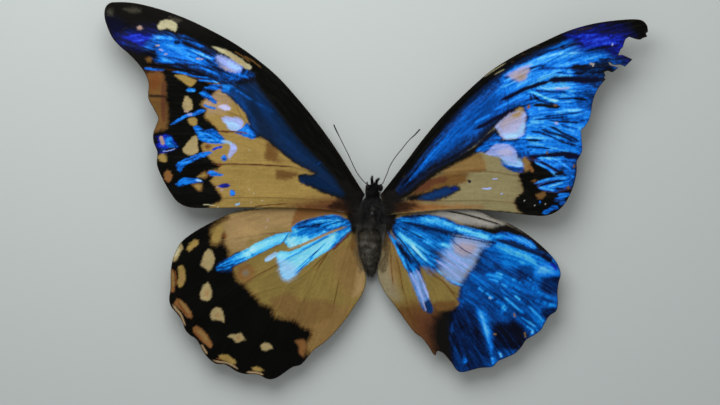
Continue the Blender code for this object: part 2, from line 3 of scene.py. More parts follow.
import bpy
import numpy as np
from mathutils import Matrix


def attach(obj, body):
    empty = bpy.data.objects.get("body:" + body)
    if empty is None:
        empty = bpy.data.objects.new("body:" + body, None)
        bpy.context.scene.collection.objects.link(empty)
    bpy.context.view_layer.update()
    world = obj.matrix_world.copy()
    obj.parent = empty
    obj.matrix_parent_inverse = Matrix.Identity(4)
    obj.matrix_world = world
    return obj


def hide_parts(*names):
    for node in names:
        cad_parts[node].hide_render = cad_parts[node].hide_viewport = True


# A dried butterfly on its pin, seen from above. Every shape here is worked out in millimetres,
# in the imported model's frame, and turned into metres when it becomes a mesh.

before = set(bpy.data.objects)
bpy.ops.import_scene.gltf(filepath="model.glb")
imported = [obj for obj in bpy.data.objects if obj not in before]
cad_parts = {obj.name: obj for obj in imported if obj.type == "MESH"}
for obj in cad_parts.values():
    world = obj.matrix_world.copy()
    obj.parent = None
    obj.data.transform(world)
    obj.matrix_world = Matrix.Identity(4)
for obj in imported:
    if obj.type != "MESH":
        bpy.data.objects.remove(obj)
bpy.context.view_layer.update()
mm = 0.001
scene = bpy.context.scene
scene.view_settings.view_transform = "Standard"


# Shared arithmetic

noiseTable = np.random.default_rng(7).random((256, 256))


def noise(x, y, seed=0):  # random heights on unit squares' corners, blended by 3t^2 - 2t^3
    x, y = x + 37.1 * seed, y + 91.7 * seed
    column, row = np.floor(x).astype(int), np.floor(y).astype(int)
    s, t = x - column, y - row
    s, t = s * s * (3 - 2 * s), t * t * (3 - 2 * t)
    corner = lambda i, j: noiseTable[(column + i) % 256, (row + j) % 256]
    low = corner(0, 0) * (1 - s) + corner(1, 0) * s
    high = corner(0, 1) * (1 - s) + corner(1, 1) * s
    return low * (1 - t) + high * t


def cloud(x, y, seed=0, octaves=4):  # sum of noises, each of half the size and height of the last
    total = sum(noise(x * 2**k, y * 2**k, seed + 13 * k) / 2**k for k in range(octaves))
    return total / (2 - 2.0 ** (1 - octaves))


def ramp(value, start, end):  # 0 before start, 1 after end, an S curve between
    t = np.clip((value - start) / (end - start), 0, 1)
    return t * t * (3 - 2 * t)


def mix(a, b, share):  # a where share is 0, b where it is 1
    return a + (b - a) * share


def bell(distance, width):  # 1 at distance 0, falling to 1/e at width
    return np.exp(-((distance / width) ** 2))


def normalised(v):
    return v / np.linalg.norm(v, axis=1)[:, None]


def linear(rgb):  # screen colour, 0 to 255, as the light it stands for
    return (np.clip(np.array(rgb, float), 0, 255) / 255) ** 2.2


def pairs(flat):
    return np.array(flat, float).reshape(-1, 2)


def smoothRun(points, step):  # cubic pieces through the points, at slopes between those of the chords beside
    points = np.array(points, float)
    gaps = np.linalg.norm(np.diff(points, axis=0), axis=1)
    times = np.sqrt(gaps)[:, None]
    slopes = np.diff(points, axis=0) / times
    tangents = np.vstack([slopes[:1], slopes[:1], slopes[1:]])
    tangents[1:-1] = (slopes[1:] * times[:-1] + slopes[:-1] * times[1:]) / (times[1:] + times[:-1])
    pieces = []
    for i, gap in enumerate(gaps):
        t = np.linspace(0, 1, max(1, round(gap / step)), endpoint=False)[:, None]
        pieces.append(
            points[i] * (2 * t**3 - 3 * t**2 + 1) + points[i + 1] * (3 * t**2 - 2 * t**3)
            + tangents[i] * times[i] * (t**3 - 2 * t**2 + t) + tangents[i + 1] * times[i] * (t**3 - t**2)
        )
    return np.vstack([*pieces, points[-1:]])


def nearLine(x, y, line):  # distance to a polyline (+ on its left), length along it, and the nearest point
    best = np.full(x.shape, 1e9)
    along, nearX, nearY, side = (np.zeros(x.shape) for _ in range(4))
    start = 0.0
    for (ax, ay), (bx, by) in zip(line, line[1:]):
        ux, uy = bx - ax, by - ay
        size = math.hypot(ux, uy) or 1e-9
        t = np.clip(((x - ax) * ux + (y - ay) * uy) / size**2, 0, 1)
        px, py = ax + t * ux, ay + t * uy
        d = (x - px) ** 2 + (y - py) ** 2
        closer = d < best
        best = np.where(closer, d, best)
        along = np.where(closer, start + t * size, along)
        nearX, nearY = np.where(closer, px, nearX), np.where(closer, py, nearY)
        side = np.where(closer, np.sign(ux * (y - ay) - uy * (x - ax)), side)
        start += size
    return np.sqrt(best), along / start, side, nearX, nearY


def insideRing(x, y, ring):  # odd number of the ring's edges crossed on the way to the right
    odd = np.zeros(x.shape, bool)
    for (ax, ay), (bx, by) in zip(ring, np.roll(ring, -1, axis=0)):
        if ay != by:
            odd ^= ((ay > y) != (by > y)) & (x < ax + (y - ay) / (by - ay) * (bx - ax))
    return odd


# Meshes

def addMesh(name, points, faces, material, node=None, colours=None, masks=None, uv=None):
    # faces is a list of arrays, one for each number of corners; points are in mm
    mesh = bpy.data.meshes.new(name)
    sizes = np.concatenate([np.full(len(f), f.shape[1]) for f in faces])
    corners = np.concatenate([f.ravel() for f in faces])
    mesh.vertices.add(len(points))
    mesh.vertices.foreach_set("co", (np.asarray(points) * mm).astype(np.float32).ravel())
    mesh.loops.add(len(corners))
    mesh.loops.foreach_set("vertex_index", corners.astype(np.int32))
    mesh.polygons.add(len(sizes))
    mesh.polygons.foreach_set("loop_start", (np.cumsum(sizes) - sizes).astype(np.int32))
    mesh.polygons.foreach_set("use_smooth", np.ones(len(sizes), bool))
    mesh.update(calc_edges=True)
    if colours is not None:
        layer = mesh.color_attributes.new("paint", "FLOAT_COLOR", "POINT")
        rgba = np.column_stack([colours, np.ones(len(colours))])
        layer.data.foreach_set("color", rgba.astype(np.float32).ravel())
    for mask, values in (masks or {}).items():
        mesh.attributes.new(mask, "FLOAT", "POINT").data.foreach_set("value", values.astype(np.float32))
    if uv is not None:
        mesh.uv_layers.new(name="run").data.foreach_set("uv", uv[corners].astype(np.float32).ravel())
    mesh.materials.append(material)
    piece = bpy.data.objects.new(name, mesh)
    scene.collection.objects.link(piece)
    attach(piece, "root")
    if node:
        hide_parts(node)


def ringFaces(rows, sides):  # walls of a tube of rings, then a fan at each end to a last pair of points
    i, j = np.meshgrid(np.arange(rows - 1), np.arange(sides), indexing="ij")
    k = (j + 1) % sides
    walls = np.stack([i * sides + j, i * sides + k, (i + 1) * sides + k, (i + 1) * sides + j], -1)
    j, k = np.arange(sides), (np.arange(sides) + 1) % sides
    first = np.column_stack([np.full(sides, rows * sides), k, j])
    end = (rows - 1) * sides
    last = np.column_stack([np.full(sides, rows * sides + 1), end + j, end + k])
    return [walls.reshape(-1, 4), np.vstack([first, last])]


def addRings(name, rings, material, node, tint=None):
    # rings is rows x sides x 3, each ring turning left about the way the rows go; tint gives the colours
    rows, sides = rings.shape[:2]
    points = np.vstack([rings.reshape(-1, 3), rings[0].mean(axis=0), rings[-1].mean(axis=0)])
    u = np.concatenate([np.repeat(np.linspace(0, 1, rows), sides), [0, 1]])
    v = np.concatenate([np.tile(np.abs(np.linspace(-1, 1, sides, endpoint=False)), rows), [0, 0]])
    colours = tint(points, u, v) if tint else None
    addMesh(name, points, ringFaces(rows, sides), material, node, colours, uv=np.column_stack([u, v]))


def circlesAbout(ahead, up, sides):  # unit circles across * cos + over * sin, square to each way ahead
    across = normalised(np.cross(up, ahead))
    over = np.cross(ahead, across)
    turn = np.linspace(0, 2 * math.pi, sides, endpoint=False)[:, None]
    return np.cos(turn) * across[:, None] + np.sin(turn) * over[:, None]


def tubeRings(path, radii, sides):  # circles square to the path, all turned from one fixed direction
    ahead = normalised(np.gradient(path, axis=0))
    up = (0.13, 0.09, 1.0) if abs(ahead[:, 2]).mean() < 0.7 else (1.0, 0.13, 0.09)
    return path[:, None] + circlesAbout(ahead, up, sides) * np.asarray(radii).reshape(-1, 1, 1)


hairShape = {"stations": (0.0, 0.4, 0.75), "taper": 0.8, "shades": (0.55, 0.85, 1.05, 1.2), "lowest": 0.03}


def addHairs(name, roots, lay, bend, length, thick, tints):
    # each hair is a three-sided spike, darker at its root: its middle is root + length (lay t + bend t^2),
    # its radius thick (1 - taper t)
    count = len(roots)
    t = np.array(hairShape["stations"])[:, None]
    mid = roots[:, None] + length[:, None, None] * (lay[:, None] * t + bend[:, None] * t**2)
    tip = roots + length[:, None] * (lay + bend)
    radius = thick * (1 - hairShape["taper"] * t)[:, :, None]
    rings = mid[:, :, None] + circlesAbout(lay, (-0.31, -0.47, -0.83), 3)[:, None] * radius
    points = np.concatenate([rings.reshape(count, 9, 3), tip[:, None]], axis=1)
    points[:, :, 2] = np.maximum(points[:, :, 2], hairShape["lowest"])
    j = np.arange(3)
    k = (j + 1) % 3
    walls = np.vstack([np.column_stack([i + j, i + k, i + 3 + k, i + 3 + j]) for i in (0, 3)])
    ends = np.vstack([[2, 1, 0], np.column_stack([6 + j, 6 + k, np.full(3, 9)])])
    base = (np.arange(count) * 10)[:, None, None]
    faces = [(walls + base).reshape(-1, 4), (ends + base).reshape(-1, 3)]
    shade = np.repeat(hairShape["shades"], [3, 3, 3, 1])
    colours = (tints[:, None] * shade[:, None]).reshape(-1, 3)
    addMesh(name, points.reshape(-1, 3), faces, hairStrands, colours=colours)


# Shader nodes and finishes

def setSockets(tree, node, links=(), fixed=None):  # links as (from, socket), fixed values by socket
    for source, socket in links:
        tree.links.new(source, node.inputs[socket])
    for socket, value in (fixed or {}).items():
        node.inputs[socket].default_value = value
    return node


def addNode(tree, kind, links=(), fixed=None, **settings):
    node = tree.nodes.new("ShaderNode" + kind)
    for key, value in settings.items():
        setattr(node, key, value)
    return setSockets(tree, node, links, fixed)


def newGroup(name, inputs, outputs):
    group = bpy.data.node_groups.new(name, "ShaderNodeTree")
    for label, kind, value in inputs:
        socket = group.interface.new_socket(name=label, in_out="INPUT", socket_type="NodeSocket" + kind)
        if value is not None:
            socket.default_value = value
    for label, kind in outputs:
        group.interface.new_socket(name=label, in_out="OUTPUT", socket_type="NodeSocket" + kind)
    return group, group.nodes.new("NodeGroupInput").outputs, group.nodes.new("NodeGroupOutput")


def grainGroup():
    # fine mottling: height is a noise spread to 0..1, colour is colour * (1 + strength * (height - 0.5))
    group, given, out = newGroup("scaleGrain", [
        ("Color", "Color", (1, 1, 1, 1)), ("Vector", "Vector", None), ("Size", "Float", 4000.0),
        ("Strength", "Float", 0.3),
    ], [("Color", "Color"), ("Height", "Float")])
    speck = addNode(group, "TexNoise", [(given["Vector"], "Vector"), (given["Size"], "Scale")],
                    {"Detail": 3.0, "Roughness": 0.6})
    wide = addNode(group, "MapRange", [(speck.outputs["Fac"], "Value")], {"From Min": 0.3, "From Max": 0.7})
    height = wide.outputs["Result"]
    spread = addNode(group, "Math", [(height, 0), (given["Strength"], 1)], operation="MULTIPLY")
    half = addNode(group, "Math", [(given["Strength"], 0)], {1: -0.5}, operation="MULTIPLY")
    factor = addNode(group, "Math", [(spread.outputs[0], 0), (half.outputs[0], 1)], operation="ADD")
    level = addNode(group, "Math", [(factor.outputs[0], 0)], {1: 1.0}, operation="ADD")
    scaled = addNode(group, "VectorMath", [(given["Color"], 0), (level.outputs[0], "Scale")],
                     operation="SCALE")
    setSockets(group, out, [(scaled.outputs["Vector"], "Color"), (height, "Height")])
    return group


def rowsGroup():
    # rows of wing scales: a net of small cells, whose height is the distance from each cell's middle
    group, given, out = newGroup("scaleRows", [("Vector", "Vector", None), ("Size", "Float", 60.0)],
                                 [("Height", "Float")])
    cells = addNode(group, "TexVoronoi", [(given["Vector"], "Vector"), (given["Size"], "Scale")],
                    {"Randomness": 0.75})
    setSockets(group, out, [(cells.outputs["Distance"], "Height")])
    return group


grainNodes, rowNodes = grainGroup(), rowsGroup()


def newMaterial(name):  # the material, its nodes, its shader, and places on the object
    material = bpy.data.materials.new(name)
    material.use_nodes = True
    tree = material.node_tree
    return material, tree, tree.nodes["Principled BSDF"], addNode(tree, "TexCoord").outputs["Object"]


def paintOf(tree, layer, output):  # what the mesh carries in one of its layers
    return addNode(tree, "Attribute", attribute_name=layer).outputs[output]


def scaledWing():
    # paint carried by the mesh, broken up by scales; the blue mask makes it glossier and a little metallic
    look = {"grainSize": 2600.0, "grain": 0.15, "rowSize": 5200.0, "rowDepth": 0.00003, "rowBump": 0.35,
            "plainRough": 0.8, "blueRough": 0.5, "blueMetal": 0.04, "gloss": 0.06}
    material, tree, shader, where = newMaterial("wingScales")
    blue = paintOf(tree, "blue", "Fac")
    speck = addNode(tree, "Group", [(paintOf(tree, "paint", "Color"), "Color"), (where, "Vector")],
                    {"Size": look["grainSize"], "Strength": look["grain"]}, node_tree=grainNodes)
    row = addNode(tree, "Group", [(where, "Vector")], {"Size": look["rowSize"]}, node_tree=rowNodes)
    rough = addNode(tree, "MapRange", [(blue, "Value")],
                    {"To Min": look["plainRough"], "To Max": look["blueRough"]})
    metal = addNode(tree, "Math", [(blue, 0)], {1: look["blueMetal"]}, operation="MULTIPLY")
    bump = addNode(tree, "Bump", [(row.outputs["Height"], "Height")],
                   {"Strength": look["rowBump"], "Distance": look["rowDepth"]})
    setSockets(tree, shader, [
        (speck.outputs["Color"], "Base Color"), (rough.outputs["Result"], "Roughness"),
        (metal.outputs[0], "Metallic"), (bump.outputs["Normal"], "Normal"),
    ], {"Specular IOR Level": look["gloss"]})
    return material


def paintedSkin(name, roughness, size, strength, depth, gloss):
    # paint carried by the mesh, with a mottled colour and a pitted surface
    material, tree, shader, where = newMaterial(name)
    speck = addNode(tree, "Group", [(paintOf(tree, "paint", "Color"), "Color"), (where, "Vector")],
                    {"Size": size, "Strength": strength}, node_tree=grainNodes)
    height = speck.outputs["Height"]
    bump = addNode(tree, "Bump", [(height, "Height")], {"Strength": 0.6, "Distance": depth})
    vary = addNode(tree, "MapRange", [(height, "Value")],
                   {"To Min": roughness * 0.8, "To Max": min(1.0, roughness * 1.2)})
    setSockets(tree, shader, [
        (speck.outputs["Color"], "Base Color"), (vary.outputs["Result"], "Roughness"),
        (bump.outputs["Normal"], "Normal"),
    ], {"Specular IOR Level": gloss})
    return material


def facetedEye():
    # black gloss over a net of tiny facets, browner in patches
    look = {"facetSize": 15000.0, "facetDepth": 0.00003, "facetBump": 0.5, "patchSize": 1800.0, "rough": 0.28,
            "gloss": 0.14, "dark": (0.002, 0.002, 0.002, 1), "brown": (0.012, 0.008, 0.006, 1)}
    material, tree, shader, where = newMaterial("facetedEye")
    facets = addNode(tree, "TexVoronoi", [(where, "Vector")],
                     {"Scale": look["facetSize"], "Randomness": 0.25})
    patch = addNode(tree, "TexNoise", [(where, "Vector")], {"Scale": look["patchSize"], "Detail": 2.0})
    colour = addNode(tree, "Mix", [(patch.outputs["Fac"], "Factor")], {6: look["dark"], 7: look["brown"]},
                     data_type="RGBA")
    bump = addNode(tree, "Bump", [(facets.outputs["Distance"], "Height")],
                   {"Strength": look["facetBump"], "Distance": look["facetDepth"]}, invert=True)
    setSockets(tree, shader, [(colour.outputs[2], "Base Color"), (bump.outputs["Normal"], "Normal")],
               {"Roughness": look["rough"], "Specular IOR Level": look["gloss"]})
    return material


def darkSteel():
    # dark pin metal, drawn along its length, brighter where the finish is worn
    look = {"stretch": (9000, 9000, 500), "dark": (0.012, 0.012, 0.014, 1), "worn": (0.10, 0.095, 0.09, 1),
            "smoothest": 0.18, "roughest": 0.42, "metal": 0.8}
    material, tree, shader, where = newMaterial("pinSteel")
    drawn = addNode(tree, "Mapping", [(where, "Vector")], {"Scale": look["stretch"]})
    worn = addNode(tree, "TexNoise", [(drawn.outputs["Vector"], "Vector")], {"Scale": 1.0, "Detail": 4.0})
    colour = addNode(tree, "Mix", [(worn.outputs["Fac"], "Factor")], {6: look["dark"], 7: look["worn"]},
                     data_type="RGBA")
    rough = addNode(tree, "MapRange", [(worn.outputs["Fac"], "Value")],
                    {"To Min": look["smoothest"], "To Max": look["roughest"]})
    setSockets(tree, shader, [(colour.outputs[2], "Base Color"), (rough.outputs["Result"], "Roughness")],
               {"Metallic": look["metal"]})
    return material


wingScales = scaledWing()
# roughness, size and strength of the mottling, depth of the pits in metres, gloss
furSkin = paintedSkin("furSkin", 0.85, 5200.0, 0.7, 0.00008, 0.15)
hairStrands = paintedSkin("hairStrands", 0.62, 2400.0, 0.35, 0.00001, 0.25)
hornShell = paintedSkin("hornShell", 0.42, 6500.0, 0.5, 0.00003, 0.4)
eyeGloss = facetedEye()
pinSteel = darkSteel()
print("finishes done")


# Wings: outlines and veins are those of the solids. Marks are outlines in mm, used in order:
# (kind, tone or amount, softness, points), where points may also be a list of several runs of points.
# Kinds: area and line (twice as wide as its softness) paint a tone, rim paints it inside a brown halo,
# glow and ray make the painted light and shade on the blue scales stronger or weaker, calm makes it smoother.
# Eyespots, on the underside, are x, y and radius of each; folds steer the fine streaks as veins do.

tones = {
    "tan": (158, 132, 74), "sand": (141, 131, 94), "paleTan": (168, 150, 106), "cream": (190, 184, 146),
    "pinkTan": (164, 138, 104), "olive": (135, 116, 64), "brown": (112, 82, 46), "redBrown": (116, 70, 38),
    "orange": (152, 104, 60), "darkBrown": (58, 43, 30), "umber": (40, 31, 24), "black": (13, 13, 11),
    "soot": (24, 23, 21), "purple": (18, 21, 44), "navy": (12, 36, 74), "steel": (16, 54, 104),
    "lavender": (164, 182, 248), "pale": (160, 210, 255), "mist": (184, 184, 224), "grey": (118, 114, 102),
    "greyPink": (172, 162, 178), "pink": (176, 148, 136), "vein": (98, 68, 36), "fringe": (50, 39, 28),
    "rust": (132, 92, 54), "warmGrey": (160, 157, 149), "stone": (118, 112, 98), "white": (226, 226, 222),
    "sage": (132, 126, 98), "scuff": (34, 34, 28), "tawny": (138, 110, 66), "fawn": (162, 134, 90),
    "russet": (98, 62, 42), "amber": (160, 126, 84), "haze": (134, 176, 240), "sable": (30, 26, 24),
    "drab": (124, 98, 58), "glimmer": (70, 68, 58), "margin": (142, 131, 102),
}
foils = {  # colours of the blue scales from shadow to glint
    "blue": [(0, (9, 13, 26)), (0.16, (12, 30, 60)), (0.3, (8, 52, 108)), (0.45, (8, 82, 174)),
             (0.6, (18, 114, 228)), (0.75, (32, 142, 252)), (0.88, (84, 188, 254)), (1, (146, 222, 255)),
             (1.15, (196, 232, 255))],
    "violet": [(0, (12, 12, 26)), (0.3, (15, 20, 64)), (0.5, (16, 28, 122)), (0.68, (22, 44, 182)),
               (0.85, (42, 78, 226)), (1.1, (122, 136, 246))],
    "cyan": [(0, (6, 18, 36)), (0.2, (8, 42, 86)), (0.4, (8, 82, 160)), (0.55, (18, 124, 220)),
             (0.7, (42, 162, 246)), (0.85, (100, 210, 252)), (1, (146, 232, 255)), (1.15, (196, 240, 255))],
    "petrol": [(0, (12, 26, 40)), (0.2, (13, 40, 74)), (0.4, (12, 58, 116)), (0.6, (14, 98, 194)),
               (0.8, (30, 140, 246)), (1.1, (140, 210, 255))],
    "teal": [(0, (9, 16, 32)), (0.2, (6, 38, 84)), (0.4, (3, 68, 142)), (0.58, (8, 106, 206)),
             (0.74, (20, 144, 242)), (0.9, (86, 204, 252)), (1.1, (166, 236, 255))],
}
sheerTones = ("lavender", "pale", "mist", "haze")
foilTones = ("navy", "steel", *sheerTones, *foils)
relief = {"cell": 0.19, "thickness": 0.13, "bodyHalf": 3.0, "freeRoot": 9.0, "veinRidge": 0.13,
          "veinWidth": 0.24, "pleatDepth": 0.2, "pleatWidth": 2.0, "wave": 0.28, "waveLength": 11.0,
          "troughWidth": 3.2, "crinkle": 0.1, "foilCrinkle": 0.12}
# painted light and shade on the blue scales: base, what each noise adds, the drop at a patch's edge,
# the knee it flattens past
shine = {"base": 0.5, "fine": 0.24, "broad": 0.2, "mottle": 0.46, "edge": 0.14, "knee": 0.78,
         "pastKnee": 0.55}
streakSize = {  # mm across and along the veins
    "fine": (0.34, 3.6), "broad": (1.2, 9.0), "mottle": (0.3, 0.8), "creaseShade": (0.9, 6.0),
    "feather": (0.22, 2.2), "crinkle": (0.9, 5.0), "foilCrinkle": (0.5, 3.0),
}
# dark lines on the veins and round the rim
veinInk = {"width": 0.18, "blueWidth": 0.1, "blueShare": 0.4, "rimWidth": 0.16, "rimShare": 0.6}

